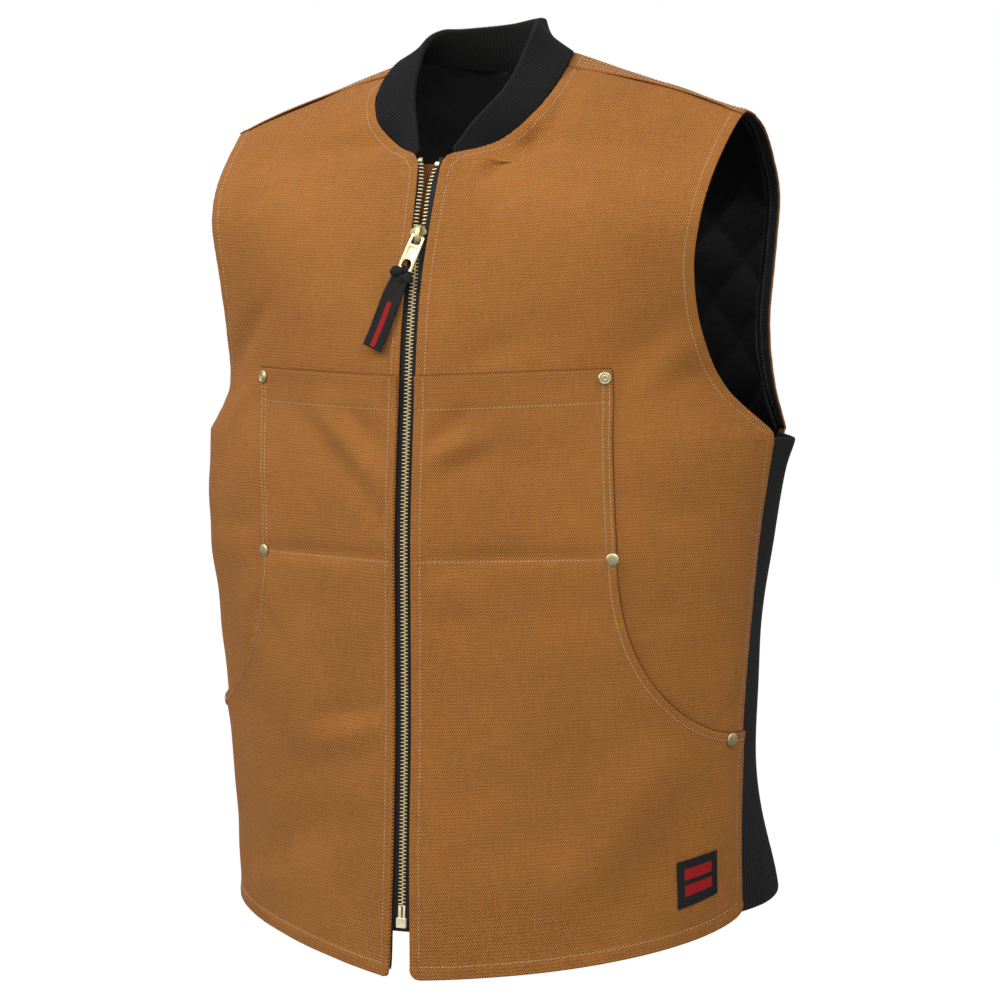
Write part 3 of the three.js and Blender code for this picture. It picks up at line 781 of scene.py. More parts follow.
    def columns(self, v: Array, inner: Sequence[float], outer: Sequence[float], count: int) -> list[Array]:
        """Shares across each row, close together near both edges.

        Args:
            v: Rows.
            inner: Distances from the centre edge, rising.
            outer: Distances from the outer edge, rising.
            count: Steps between the two sets.

        Returns:
            One array of s for each row.
        """
        from_inner = np.array(inner)[None, :] / self.spans(v)[0][:, None]
        from_outer = 1 - np.array(outer)[None, ::-1] / self.spans(v)[1][:, None]
        between = np.linspace(0, 1, count + 1)[None, 1:-1]
        low, high = from_inner[:, -1:], from_outer[:, :1]
        return list(np.hstack([from_inner, low + (high - low) * between, from_outer]))

    def net(self, s: Sequence[Array], v: Array, lift: float = 0.0) -> Net:
        """The hanging cloth sampled at rows v, each with its own s.

        Args:
            s: Shares across for each row.
            v: Rows.
            lift: Millimetres off the cloth.

        Returns:
            The net.
        """
        lengths = [len(row) for row in s]
        rows = np.repeat(v, lengths)
        points, normals = self.place(np.concatenate(s), rows, lift)
        across: list[Array] = []
        up: list[Array] = []
        parts = np.split(points, np.cumsum(lengths)[:-1])
        for i, part in enumerate(parts):
            across.append(abs(part[0, 0]) + run_of(part))
            if i == 0 or v[i] <= self.level:
                up.append(np.full(len(part), v[i] * MM))
            else:
                x, before = np.abs(part[:, 0]), np.abs(parts[i - 1][:, 0])
                y, z = (part[:, k] - np.interp(x, before, parts[i - 1][:, k]) for k in (1, 2))
                up.append(np.interp(x, before, up[-1]) + np.hypot(y, z))
        flat = np.stack([np.concatenate(across) * self.side.value, np.concatenate(up)], axis=-1)
        return Net.from_rows(points, normals, flat, lengths)


class Tree:
    """Adds and links nodes in one node tree."""

    def __init__(self, tree: bpy.types.NodeTree) -> None:
        """Work on a tree."""
        self.tree = tree

    def feed(self, socket: Socket, source: object) -> None:
        """Link a socket to another, or set its value.

        Args:
            socket: The input.
            source: A socket, a value, or None to leave it.
        """
        if isinstance(source, Socket):
            self.tree.links.new(source, socket)
        elif source is not None:
            socket.default_value = source

    def node(self, kind: str, *sources: object, **settings: object) -> Node:
        """A new node with its settings made and its first inputs fed.

        Args:
            kind: The node's type.
            sources: Sockets or values for its inputs in order; None leaves one as it is.
            settings: The node's own properties.

        Returns:
            The node.
        """
        made = self.tree.nodes.new(kind)
        for key, value in settings.items():
            setattr(made, key, value)
        for socket, source in zip(made.inputs, sources):
            self.feed(socket, source)
        return made

    def math(self, operation: str, *sources: object) -> Socket:
        """The result of a Math node."""
        return self.node("ShaderNodeMath", *sources, operation=operation).outputs[0]

    def mix(self, share: object, low: object, high: object) -> Socket:
        """A colour between two colours.

        Args:
            share: 0 for the first, 1 for the second.
            low: The first colour.
            high: The second colour.

        Returns:
            The mixed colour.
        """
        made = self.node("ShaderNodeMix", share, data_type="RGBA")
        self.feed(made.inputs[6], low)
        self.feed(made.inputs[7], high)
        return made.outputs[2]

    def spread(self, value: object, low: float, high: float) -> Socket:
        """A value from 0 to 1 spread from low to high."""
        return self.node("ShaderNodeMapRange", value, 0.0, 1.0, low, high).outputs[0]

    def noise(self, vector: object, scale: float, detail: float = 2.0) -> Socket:
        """A smooth noise from about 0 to 1."""
        return self.node("ShaderNodeTexNoise", vector, None, scale, detail).outputs[0]

    def stretch(self, vector: object, x: float, y: float, z: float = 1.0) -> Socket:
        """A vector scaled along its axes."""
        return self.node("ShaderNodeVectorMath", vector, (x, y, z), operation="MULTIPLY").outputs[0]


class Groups:
    """The shader node groups that several finishes share."""

    weft_ratio: float = 0.72
    wander_scale: float = 0.03
    wander_reach: float = 3.0
    steepness: float = 1.4
    row_relief: float = 0.09
    slant_relief: float = 0.13
    crossing_relief: float = 0.4
    speck_span: tuple[float, float] = (0.35, 0.7)

    @staticmethod
    def start(
        name: str, inputs: Sequence[tuple[str, str]], outputs: Sequence[str]
    ) -> tuple[Tree, list[Socket], Node]:
        """A new group with its sockets.

        Args:
            name: The group's name.
            inputs: Names and kinds of its inputs.
            outputs: Names of its value outputs.

        Returns:
            Its tree, its input sockets and its output node.
        """
        group = bpy.data.node_groups.new(name, "ShaderNodeTree")
        for label, kind in inputs:
            group.interface.new_socket(label, in_out="INPUT", socket_type=kind)
        for label in outputs:
            group.interface.new_socket(label, in_out="OUTPUT", socket_type="NodeSocketFloat")
        tree = Tree(group)
        entry = tree.node("NodeGroupInput")
        return tree, list(entry.outputs), tree.node("NodeGroupOutput")

    @classmethod
    def weave(cls) -> bpy.types.NodeTree:
        """A plain weave: yarns over and under each other, with thick and thin places.

        Returns:
            The group.
        """
        if "plain_weave" in bpy.data.node_groups:
            return bpy.data.node_groups["plain_weave"]
        sockets = [("Vector", "NodeSocketVector"), ("Pitch", "NodeSocketFloat")]
        tree, (vector, pitch, *_), exit_node = cls.start("plain_weave", sockets, ["Height", "Yarn"])
        even = tree.stretch(vector, 1.0, cls.weft_ratio)
        scaled = tree.node("ShaderNodeVectorMath", even, operation="SCALE")
        tree.feed(scaled.inputs[3], tree.math("DIVIDE", 1.0, pitch))
        wander = tree.noise(tree.stretch(scaled.outputs[0], cls.wander_scale, cls.wander_scale), 1.0)
        split = tree.node("ShaderNodeSeparateXYZ", scaled.outputs[0])
        strays = [tree.math("MULTIPLY", wander, cls.wander_reach) for _ in range(2)]
        warp, weft = (tree.math("ADD", split.outputs[k], stray) for k, stray in enumerate(strays))
        over = tree.math("SINE", tree.math("MULTIPLY", warp, math.pi))
        under = tree.math("SINE", tree.math("MULTIPLY", weft, math.pi))
        steep = tree.math("MULTIPLY", tree.math("MULTIPLY", over, under), cls.steepness)
        crossing = tree.node("ShaderNodeClamp", steep, -1.0, 1.0).outputs[0]
        rows = tree.math("MULTIPLY_ADD", under, cls.row_relief, 0.5)
        slant = tree.math("COSINE", tree.math("MULTIPLY", tree.math("SUBTRACT", warp, weft), math.pi))
        ground = tree.math("MULTIPLY_ADD", slant, cls.slant_relief, rows)
        slub = tree.noise(tree.stretch(scaled.outputs[0], 0.05, 0.9), 1.0, 1.0)
        thick = tree.noise(tree.stretch(scaled.outputs[0], 0.8, 0.06), 1.0, 1.0)
        height = tree.math("MULTIPLY_ADD", crossing, cls.crossing_relief, ground)
        tree.feed(exit_node.inputs[0], height)
        tree.feed(exit_node.inputs[1], tree.math("MULTIPLY", tree.math("ADD", slub, thick), 0.5))
        return tree.tree

    @classmethod
    def mottle(cls) -> bpy.types.NodeTree:
        """Uneven dye and dust: broad clouds with fine specks over them.

        Returns:
            The group.
        """
        if "mottle" in bpy.data.node_groups:
            return bpy.data.node_groups["mottle"]
        sockets = [("Vector", "NodeSocketVector"), ("Cloud", "NodeSocketFloat"), ("Speck", "NodeSocketFloat")]
        tree, (vector, cloud, speck, *_), exit_node = cls.start("mottle", sockets, ["Cloud", "Speck"])
        broad = tree.node("ShaderNodeTexNoise", vector, None, cloud, 3.0)
        fine = tree.node("ShaderNodeTexNoise", vector, None, speck, 2.0)
        tree.feed(exit_node.inputs[0], broad.outputs[0])
        specks = tree.node("ShaderNodeMapRange", fine.outputs[0], *cls.speck_span, 0.0, 1.0)
        tree.feed(exit_node.inputs[1], specks.outputs[0])
        return tree.tree


class Finish:
    """A finish that makes its material once."""

    name: str = "finish"

    def material(self) -> bpy.types.Material:
        """The finish's material, made at its first use.

        Returns:
            The material.
        """
        if self.name in bpy.data.materials:
            return bpy.data.materials[self.name]
        made = bpy.data.materials.new(self.name)
        made.use_nodes = True
        tree = Tree(made.node_tree)
        shader = made.node_tree.nodes["Principled BSDF"]
        self.dress(tree, shader)
        return made

    def dress(self, tree: Tree, shader: Node) -> None:
        """Build the finish's nodes up to its shader."""
        raise NotImplementedError

    @staticmethod
    def paint(tree: Tree, shader: Node, colour: Socket, roughness: Socket, plain: dict[str, float]) -> None:
        """Feed a shader's colour and roughness, and set its plain values.

        Args:
            tree: The material's tree.
            shader: Its shader.
            colour: The base colour.
            roughness: The roughness.
            plain: Values that are the same all over, by their sockets' names.
        """
        tree.feed(shader.inputs["Base Color"], colour)
        tree.feed(shader.inputs["Roughness"], roughness)
        for name, value in plain.items():
            shader.inputs[name].default_value = value

    @staticmethod
    def flat_cut(tree: Tree) -> Socket:
        """The piece's own places on its flat cut, in metres."""
        return tree.node("ShaderNodeUVMap", uv_map="cloth").outputs[0]

    @staticmethod
    def group(tree: Tree, made: bpy.types.NodeTree, *sources: object) -> Node:
        """A shared group placed in a material with its own values.

        Args:
            tree: The material's tree.
            made: The group.
            sources: Sockets or values for its inputs.

        Returns:
            The group's node.
        """
        node = tree.node("ShaderNodeGroup", node_tree=made)
        for socket, source in zip(node.inputs, sources):
            tree.feed(socket, source)
        return node

    @staticmethod
    def bump(tree: Tree, shader: Node, height: Socket, strength: float, depth: float) -> None:
        """Feed a height to the shader's normal; the depth is in metres.

        Args:
            tree: The material's tree.
            shader: Its shader.
            height: The height.
            strength: The bump's strength.
            depth: The bump's depth.
        """
        bump = tree.node("ShaderNodeBump", strength, depth)
        tree.feed(bump.inputs["Height"], height)
        tree.feed(shader.inputs["Normal"], bump.outputs[0])


Colour = tuple[float, float, float, float]


@dataclass(frozen=True)
class CanvasFinish(Finish):
    """Firm cotton duck: a close plain weave in brown with uneven dye, and painted shade in the low places
    between the yarns.
    """

    name: str = "duck_canvas"
    deep: Colour = (0.08, 0.0225, 0.0034, 1.0)
    light: Colour = (0.735, 0.296, 0.0655, 1.0)
    pitch: float = 0.00092
    weave_depth: float = 0.0004
    weave_strength: float = 0.65
    cloud: float = 9.0
    speck: float = 420.0

    def dress(self, tree: Tree, shader: Node) -> None:
        """Build the duck's colour, roughness and weave.

        Args:
            tree: The material's tree.
            shader: Its shader.
        """
        cut = self.flat_cut(tree)
        weave = self.group(tree, Groups.weave(), cut, self.pitch)
        mottle = self.group(tree, Groups.mottle(), cut, self.cloud, self.speck)
        yarn = tree.spread(weave.outputs["Yarn"], -0.2, 0.2)
        cloud = tree.spread(mottle.outputs["Cloud"], -0.13, 0.13)
        speck = tree.spread(mottle.outputs["Speck"], -0.04, 0.04)
        # The weave's height lightens the crossings and darkens the low places between the yarns: painted
        # shade. The yarn, cloud and speck terms are the cloth's own uneven tone.
        crest = tree.math("MULTIPLY_ADD", weave.outputs["Height"], 0.9, 0.03)
        share = tree.math("ADD", tree.math("ADD", crest, yarn), tree.math("ADD", cloud, speck))
        shade = tree.node("ShaderNodeClamp", share).outputs[0]
        colour = tree.mix(shade, self.deep, self.light)
        rough = tree.spread(mottle.outputs["Cloud"], 0.78, 0.92)
        gloss = {"Specular IOR Level": 0.2, "Sheen Weight": 0.03, "Sheen Roughness": 0.5}
        self.paint(tree, shader, colour, rough, gloss)
        self.bump(tree, shader, weave.outputs["Height"], self.weave_strength, self.weave_depth)


@dataclass(frozen=True)
class KnitFinish(Finish):
    """Black ribbed knit: rows of small loops with a soft bloom of fibre."""

    name: str = "rib_knit"
    deep: Colour = (0.0025, 0.0024, 0.0022, 1.0)
    light: Colour = (0.0105, 0.0099, 0.009, 1.0)
    loop: float = 0.0013
    cloud: float = 25.0
    speck: float = 900.0
    fibre: float = 1400.0

    def dress(self, tree: Tree, shader: Node) -> None:
        """Build the knit's colour and loops.

        Args:
            tree: The material's tree.
            shader: Its shader.
        """
        cut = self.flat_cut(tree)
        split = tree.node("ShaderNodeSeparateXYZ", cut)
        fuzz = tree.noise(cut, self.fibre, 3.0)
        stray = tree.math("MULTIPLY", fuzz, 2.0)
        course = tree.math("MULTIPLY_ADD", split.outputs[1], math.pi / self.loop, stray)
        loops = tree.math("ABSOLUTE", tree.math("SINE", course))
        mottle = self.group(tree, Groups.mottle(), cut, self.cloud, self.speck)
        # The loops are lighter and the places between them darker: painted light and shade of the loops, over
        # the knit's uneven tone.
        share = tree.math("MULTIPLY_ADD", loops, 0.45, tree.spread(mottle.outputs["Cloud"], 0.0, 0.5))
        colour = tree.mix(share, self.deep, self.light)
        rough = tree.spread(mottle.outputs["Speck"], 0.85, 1.0)
        gloss = {"Specular IOR Level": 0.2, "Sheen Weight": 0.05, "Sheen Roughness": 0.6}
        self.paint(tree, shader, colour, rough, gloss)
        self.bump(tree, shader, tree.math("MULTIPLY_ADD", fuzz, 0.6, loops), 0.6, 0.0003)


@dataclass(frozen=True)
class LiningFinish(Finish):
    """Black quilted taffeta with a faint gloss."""

    name: str = "quilted_taffeta"
    deep: Colour = (0.0016, 0.0016, 0.0018, 1.0)
    light: Colour = (0.004, 0.004, 0.0046, 1.0)
    gloss: float = 0.15
    pitch: float = 0.0006
    cloud: float = 14.0
    speck: float = 260.0

    def dress(self, tree: Tree, shader: Node) -> None:
        """Build the taffeta's colour, gloss and fine creases.

        Args:
            tree: The material's tree.
            shader: Its shader.
        """
        cut = self.flat_cut(tree)
        weave = self.group(tree, Groups.weave(), cut, self.pitch)
        mottle = self.group(tree, Groups.mottle(), cut, self.cloud, self.speck)
        creases = tree.noise(tree.stretch(cut, 60.0, 110.0), 1.0, 3.0)
        colour = tree.mix(mottle.outputs["Cloud"], self.deep, self.light)
        rough = tree.spread(mottle.outputs["Speck"], 0.5, 0.68)
        self.paint(tree, shader, colour, rough, {"Specular IOR Level": self.gloss})
        height = tree.math("MULTIPLY_ADD", weave.outputs["Height"], 0.12, creases)
        self.bump(tree, shader, height, 0.35, 0.0016)


@dataclass(frozen=True)
class WebbingFinish(Finish):
    """Woven tape, ribbon or label: close ribs of black yarn."""

    name: str = "zip_webbing"
    deep: Colour = (0.0075, 0.0075, 0.008, 1.0)
    light: Colour = (0.024, 0.0235, 0.0235, 1.0)
    pitch: float = 0.0008
    stripe: Colour | None = None
    bands: tuple[tuple[float, float], ...] = ()
    margin: float = 0.0
    cloud: float = 40.0
    speck: float = 1200.0

    def dress(self, tree: Tree, shader: Node) -> None:
        """Build the tape's weave, and the plain bands woven into it if it has some.

        Args:
            tree: The material's tree.
            shader: Its shader.
        """
        cut = self.flat_cut(tree)
        weave = self.group(tree, Groups.weave(), cut, self.pitch)
        mottle = self.group(tree, Groups.mottle(), cut, self.cloud, self.speck)
        cloud = tree.spread(mottle.outputs["Cloud"], 0.0, 0.3)
        # The weave's height darkens the low places between the yarns: painted shade, over the tape's uneven
        # tone.
        share = tree.math("MULTIPLY_ADD", weave.outputs["Height"], 0.7, cloud)
        colour = tree.mix(share, self.deep, self.light)
        if self.stripe:
            split = tree.node("ShaderNodeSeparateXYZ", cut)
            across = tree.math("ABSOLUTE", split.outputs[0])
            masks = [self.band(tree, split.outputs[1], low, high) for low, high in self.bands]
            total = masks[0]
            for mask in masks[1:]:
                total = tree.math("ADD", total, mask)
            within = tree.math("LESS_THAN", across, self.margin)
            # The bands are also darker in the weave's low places: painted shade between the yarns.
            dull = tuple(0.45 * c for c in self.stripe[:3]) + (1.0,)
            band = tree.mix(share, dull, self.stripe)
            colour = tree.mix(tree.math("MULTIPLY", total, within), colour, band)
        rough = tree.spread(mottle.outputs["Speck"], 0.7, 0.9)
        self.paint(tree, shader, colour, rough, {"Specular IOR Level": 0.25})
        self.bump(tree, shader, weave.outputs["Height"], 0.6, 0.0003)

    @staticmethod
    def band(tree: Tree, along: Socket, low: float, high: float) -> Socket:
        """A mask that is 1 between two places along the tape."""
        past_low = tree.math("GREATER_THAN", along, low)
        return tree.math("MULTIPLY", past_low, tree.math("LESS_THAN", along, high))


@dataclass(frozen=True)
class BrassFinish(Finish):
    """Brass with fine handling marks and dull patches."""

    name: str = "polished_brass"
    bright: Colour = (0.64, 0.55, 0.335, 1.0)
    dull: Colour = (0.48, 0.38, 0.19, 1.0)
    smooth: float = 0.3
    rough: float = 0.46
    tarnish: float = 0.35
    grain: float = 900.0
    metal: float = 1.0
    cloud: float = 260.0

    def dress(self, tree: Tree, shader: Node) -> None:
        """Build the metal's colour, roughness and marks.

        Args:
            tree: The material's tree.
            shader: Its shader.
        """
        place = tree.node("ShaderNodeTexCoord").outputs["Object"]
        mottle = self.group(tree, Groups.mottle(), place, self.cloud, self.grain)
        marks = tree.math("MULTIPLY", mottle.outputs["Speck"], self.tarnish)
        share = tree.math("ADD", marks, tree.spread(mottle.outputs["Cloud"], -0.1, 0.35))
        shade = tree.node("ShaderNodeClamp", share).outputs[0]
        colour = tree.mix(shade, self.bright, self.dull)
        rough = tree.spread(shade, self.smooth, self.rough)
        self.paint(tree, shader, colour, rough, {"Metallic": self.metal})
        self.bump(tree, shader, mottle.outputs["Speck"], 0.12, 0.0002)


@dataclass(frozen=True)
class ThreadFinish(Finish):
    """Twisted sewing thread."""

    name: str = "cream_thread"
    deep: Colour = (0.44, 0.30, 0.175, 1.0)
    light: Colour = (0.76, 0.62, 0.45, 1.0)
    cloud: float = 60.0
    speck: float = 2600.0

    def dress(self, tree: Tree, shader: Node) -> None:
        """Build the thread's ply and soft gloss.

        Args:
            tree: The material's tree.
            shader: Its shader.
        """
        place = tree.node("ShaderNodeTexCoord").outputs["Object"]
        mottle = self.group(tree, Groups.mottle(), place, self.cloud, self.speck)
        colour = tree.mix(mottle.outputs["Speck"], self.deep, self.light)
        self.paint(tree, shader, colour, tree.spread(mottle.outputs["Cloud"], 0.55, 0.75), {})
        self.bump(tree, shader, mottle.outputs["Speck"], 0.4, 0.0002)


CANVAS = CanvasFinish()
# A darker copy of the duck as painted shade: for the flap deep in the zip's recess and for the strip of
# painted shadow round each pocket layer.
SHADED_CANVAS = CanvasFinish("shaded_canvas", (0.05, 0.016, 0.0032, 1.0), (0.25, 0.105, 0.03, 1.0))
KNIT = KnitFinish()
# A darker copy of the knit as painted shade on the collar's inner face.
SHADED_KNIT = KnitFinish("shaded_knit", (0.0012, 0.0012, 0.0012, 1.0), (0.0036, 0.0035, 0.0034, 1.0))
TAFFETA = LiningFinish()
NECK_SATIN = LiningFinish("neck_satin", (0.017, 0.0163, 0.0177, 1.0), (0.038, 0.0364, 0.0396, 1.0), 0.28)
TAPE = WebbingFinish()
BRASS = BrassFinish()
# A brighter, less metallic copy of the brass: painted light on the teeth deep in the zip's recess.
PAINTED_LIGHT_TOOTH_BRASS = BrassFinish("painted_light_tooth_brass", (1.0, 0.82, 0.44, 1.0), (0.78, 0.57, 0.25, 1.0), 0.3, 0.5, metal=0.2)
# A darker copy of the brass: painted shade on the slider's plates.
SHADED_SLIDER_BRASS = BrassFinish(
    "shaded_slider_brass", (0.34, 0.265, 0.12, 1.0), (0.21, 0.155, 0.062, 1.0), 0.5, 0.62, metal=0.5
)
# A copy of the brass lighter than the slider's plates: painted highlight on the crown.
HIGHLIGHT_CROWN_BRASS = BrassFinish(
    "highlight_crown_brass", (0.66, 0.53, 0.26, 1.0), (0.42, 0.32, 0.14, 1.0), 0.36, 0.52, metal=0.7
)
FOOT_BRASS = BrassFinish("foot_brass", (0.98, 0.9, 0.66, 1.0), (0.8, 0.7, 0.45, 1.0), 0.35, 0.5, metal=0.3)
OLD_BRASS = BrassFinish(
    "worn_brass", (0.63, 0.55, 0.325, 1.0), (0.17, 0.135, 0.06, 1.0), 0.28, 0.55, 0.75, 1500.0
)
CREAM = ThreadFinish()
# A darker copy of the thread: painted shade on the stitches sunk in the side edge.
SHADED_SIDE_THREAD = ThreadFinish("shaded_side_thread", (0.34, 0.19, 0.1, 1.0), (0.6, 0.41, 0.26, 1.0))
# A darker copy of the thread: painted shade on the stitches inside the armholes.
SHADED_FACING_THREAD = ThreadFinish("shaded_facing_thread", (0.06, 0.05, 0.042, 1.0), (0.17, 0.145, 0.12, 1.0))
FACING_TWILL = WebbingFinish("facing_twill", (0.006, 0.006, 0.0065, 1.0), (0.02, 0.0195, 0.0195, 1.0), 0.0011)
RED: Colour = (0.52, 0.013, 0.018, 1.0)
JET: Colour = (0.0038, 0.0037, 0.0038, 1.0)
SOOT: Colour = (0.0125, 0.012, 0.0118, 1.0)
LABEL_CLOTH = WebbingFinish("label_cloth", JET, SOOT, 0.0007, RED, ((0.0075, 0.016), (0.020, 0.0285)), 0.0115)
RIBBON_CLOTH_PLAIN = WebbingFinish("ribbon_cloth_plain", JET, SOOT, 0.0007)
RIBBON_CLOTH = WebbingFinish("ribbon_cloth", JET, SOOT, 0.0007, RED, ((0.022, 0.06),), 0.0022)


def fit(
    piece: Piece,
    finish: Finish,
    nodes: Sequence[str] = (),
    body: Body = Body.VEST,
) -> Piece:
    """Give a piece its finish and its body, and hide the CAD nodes that it replaces.

    Args:
        piece: The piece.
        finish: Its finish.
        nodes: CAD nodes that it replaces.
        body: The body that it rides on.

    Returns:
        The piece.
    """
    piece.data.materials.clear()
    piece.data.materials.append(finish.material())
    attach(piece, body.value)
    if nodes:
        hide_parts(*nodes)
    LOG.info("%s: %d faces, on %s", piece.name, len(piece.data.polygons), body.value)
    return piece


@dataclass
class Thread:
    """Rows of stitches, gathered and made as one piece."""

    pitch: float = 3.0
    share: float = 0.66
    radius: float = 0.36
    rings: tuple[Triple, ...] = ((0.0, -0.32, 0.5), (0.24, 0.1, 1.0), (0.76, 0.1, 1.0), (1.0, -0.32, 0.5))
    rows: list[tuple[Array, Array, Array]] = field(default_factory=list)

    def sew(self, points: Array, normals: Array) -> None:
        """Lay one row of stitches along a line on the cloth.

        Args:
            points: Places along the line in metres.
            normals: The cloth's outward directions there.
        """
        run = run_of(points)
        count = int(run[-1] / (self.pitch * MM))
        if count < 1:
            return
        pitch = run[-1] / count
        starts = (np.arange(count) + (1 - self.share) / 2) * pitch

        def read(values: Array, at: Array) -> Array:
            """Values along the line at distances."""
            return np.stack([np.interp(at, run, values[:, k]) for k in range(3)], axis=-1)

        stops = starts + self.share * pitch
        out = unit(read(normals, (starts + stops) / 2))
        self.rows.append((read(points, starts), read(points, stops), out))

    def build(self, name: str, finish: Finish, body: Body = Body.VEST) -> Piece:
        """Make every row's stitches one piece.

        Args:
            name: The piece's name.
            finish: The thread's finish.
            body: The body that it rides on.

        Returns:
            The piece.
        """
        start, stop, out = (np.concatenate([row[k] for row in self.rows]) for k in range(3))
        along = stop - start
        wide = unit(np.cross(along, out))
        corners = []
        for share, lift, radius in self.rings:
            centre = start + along * share + out * lift * MM
            size = radius * self.radius * MM
            corners += [centre + wide * size, centre + out * size, centre - wide * size, centre - out * size]
        points = np.stack(corners, axis=1)
        faces = [(3, 2, 1, 0), (12, 13, 14, 15)]
        for ring in range(0, 12, 4):
            for k in range(4):
                n = (k + 1) % 4
                faces.append((ring + k, ring + n, ring + 4 + n, ring + 4 + k))
        shape = np.array(faces)[:, ::-1]
        every = (shape[None] + (np.arange(len(points)) * 16)[:, None, None]).reshape(-1, 4)
        piece = make_object(name, points.reshape(-1, 3), every.tolist(), None)
        return fit(piece, finish, (), body)


EDGE_STEPS = (0.0, 0.7, 1.8, 3.5, 5.0, 6.1, 7.0, 7.9, 9.2, 12.0, 15.0)
HEM_STEPS = (0.0, 0.7, 1.8, 3.5, 5.5, 7.5, 8.7, 9.5, 10.3, 11.7, 15.0)
CENTRE_STEPS = (0.0, 0.7, 1.8, 3.5, 5.0, 6.1, 7.0, 7.9, 9.2, 12.0, 15.5, 19.5, 24.0)
RIM_STEPS = (34.0, 31.0, 29.6, 28.6, 27.4, 25.0, 18.0, 11.0, 5.0, 2.0, 0.7, 0.0)
BESIDE_STEPS = (24.0, 18.0, 13.0, 10.0, 8.5, 6.5, 4.0, 2.0, 0.8, 0.0)
ARM_SEAM = Seam(7.0, 0.55, 0.45, 0.2)
SIDE_SEAM = Seam(7.0, 0.55, 0.4, 0.18)


@dataclass
class CanvasFront:
    """One canvas front with its pocket layer, their stitches and its rivets' places."""

    side: Side
    folds: tuple[Fold, ...] = ()
    canvas: float = 1.4
    layer_gap: float = 0.35
    gape: float = 2.0
    gape_reach: float = 18.0
    rim_depth: float = 28.6
    slack: float = 1.3
    slack_reach: float = 8.0
    layer: float = 1.2
    pocket_top: float = 474.0
    edge_top: float = 155.3
    edge_mouth: float = 162.6
    changes: Changes = field(default_factory=dict)
    centre_round: float = 8.0
    side_round: float = 9.0
    armpit_cut: float = 2.5
    under: float = 5.0
    line_drop: float = 13.0
    opening_top: float = 341.0
    opening_foot: float = 193.5
    fullness: float = 0.76
    steps_across: int = 60
    opening_steps: int = 34
    mouth_steps: int = 14
    mouth_share: float = 0.27
    # Widths of the strip of painted shadow round the pocket layer, in millimetres from its edge.
    shadow_widths: tuple[float, ...] = (-1.4, 0.0, 3.0, 9.8)
    facing: tuple[float, float] = (6.0, 46.0)
    centre_seam: Seam = Seam(7.0, 0.5, 0.4)
    neck_seam: Seam = Seam(7.0, 0.6, 0.4, 0.22)
    arm_seam: Seam = ARM_SEAM
    side_seam: Seam = SIDE_SEAM
    hem_seam: Seam = Seam(9.5, 0.9, 0.6, 0.2)
    hang: Hang = Hang()

    def __post_init__(self) -> None:
        """Set the cloth and the pocket's lines out."""
        self.loft = Loft(FRONT_ROWS, self.changes, "neck_corner", "armpit", self.side)
        self.loft.relief = self.relief
        self.armpit = self.loft.marks["armpit"]
        self.neck = self.loft.marks["neck_corner"]
        self.top_row = self.loft.row_at(self.pocket_top, 2)
        self.mouth_row = self.loft.row_at(self.opening_top, 2)
        self.foot_row = self.loft.row_at(self.opening_foot, 5)
        turns = np.linspace(0, math.pi / 2, 160)
        self.mouth = self.loft.place(*self.opening(turns, 0.0))[0]

    def relief(self, s: Array, v: Array, points: Array) -> Array:
        """The front's folds, seams and hang, in millimetres.

        Args:
            s: Shares across.
            v: Millimetres up.
            points: The smooth cloth's places in metres.

        Returns:
            Millimetres outwards.
        """
        wide_in, wide_out = self.loft.spans(v)
        inner, outer = s * wide_in, (1 - s) * wide_out
        necked = ease(self.neck - 9, self.neck + 9, v)
        armed = ease(self.armpit - 8, self.armpit + 8, v)
        total = (1 - necked) * self.centre_seam.relief(inner, v) + necked * self.neck_seam.relief(inner, v)
        total += (1 - armed) * self.side_seam.relief(outer, v) + armed * self.arm_seam.relief(outer, v)
        total += self.hem_seam.relief(v, s * 260)
        top = self.loft.top
        total -= 0.5 * ease(top - 8, top, v) + 0.9 * ease(top, top + 5, v)
        calm = ease(0, 40, inner) * ease(0, 25, outer)
        total += self.hang.relief(points) * calm
        for fold in self.folds:
            total += fold.relief(points) * ease(2, 12, inner) * ease(2, 12, outer)
        return total

    def opening(self, turns: Array, grown: float) -> tuple[Array, Array]:
        """Shares and rows along the curved hand opening.

        Args:
            turns: Angles from its top, 0, to its foot at the side edge, a quarter turn.
            grown: Millimetres outside the opening, on the pocket layer.

        Returns:
            s and v.
        """
        v = self.mouth_row + (self.foot_row - self.mouth_row) * np.sin(turns) ** self.fullness
        s = 1 - (1 - self.edge_share(v)) * np.cos(turns) ** self.fullness
        return self.loft.aside(s, v, grown)

    def edge_share(self, v: Array, inset: float = 0.0) -> Array:
        """The s of the pocket's upright edge, or of a line inside it, at rows v."""
        rise = np.clip((v - self.mouth_row) / (self.top_row - self.mouth_row), 0, 1)
        return self.loft.across_at(self.edge_mouth + (self.edge_top - self.edge_mouth) * rise - inset, v)

    def trim(self, shares: Sequence[Array], v: Array, armpit_cut: float = 0.0) -> list[Array]:
        """Shares across with the cloth's corners rounded.

        Args:
            shares: Shares across each row.
            v: Rows.
            armpit_cut: Millimetres cut off at the armpit's corner.

        Returns:
            The new shares across each row.
        """
        wide_in, wide_out = self.loft.spans(v)
        near_neck = 3.0 * np.clip(1 - np.abs(v - self.neck) / 9, 0, 1) ** 2
        near_arm = armpit_cut * np.clip(1 - np.abs(v - self.armpit) / 9, 0, 1) ** 2
        inner = (near_neck + self.corner(v, self.centre_round)) / wide_in
        outer = (near_arm + self.corner(v, self.side_round)) / wide_out
        return [a + (1 - a - b) * s for s, a, b in zip(shares, inner, outer)]

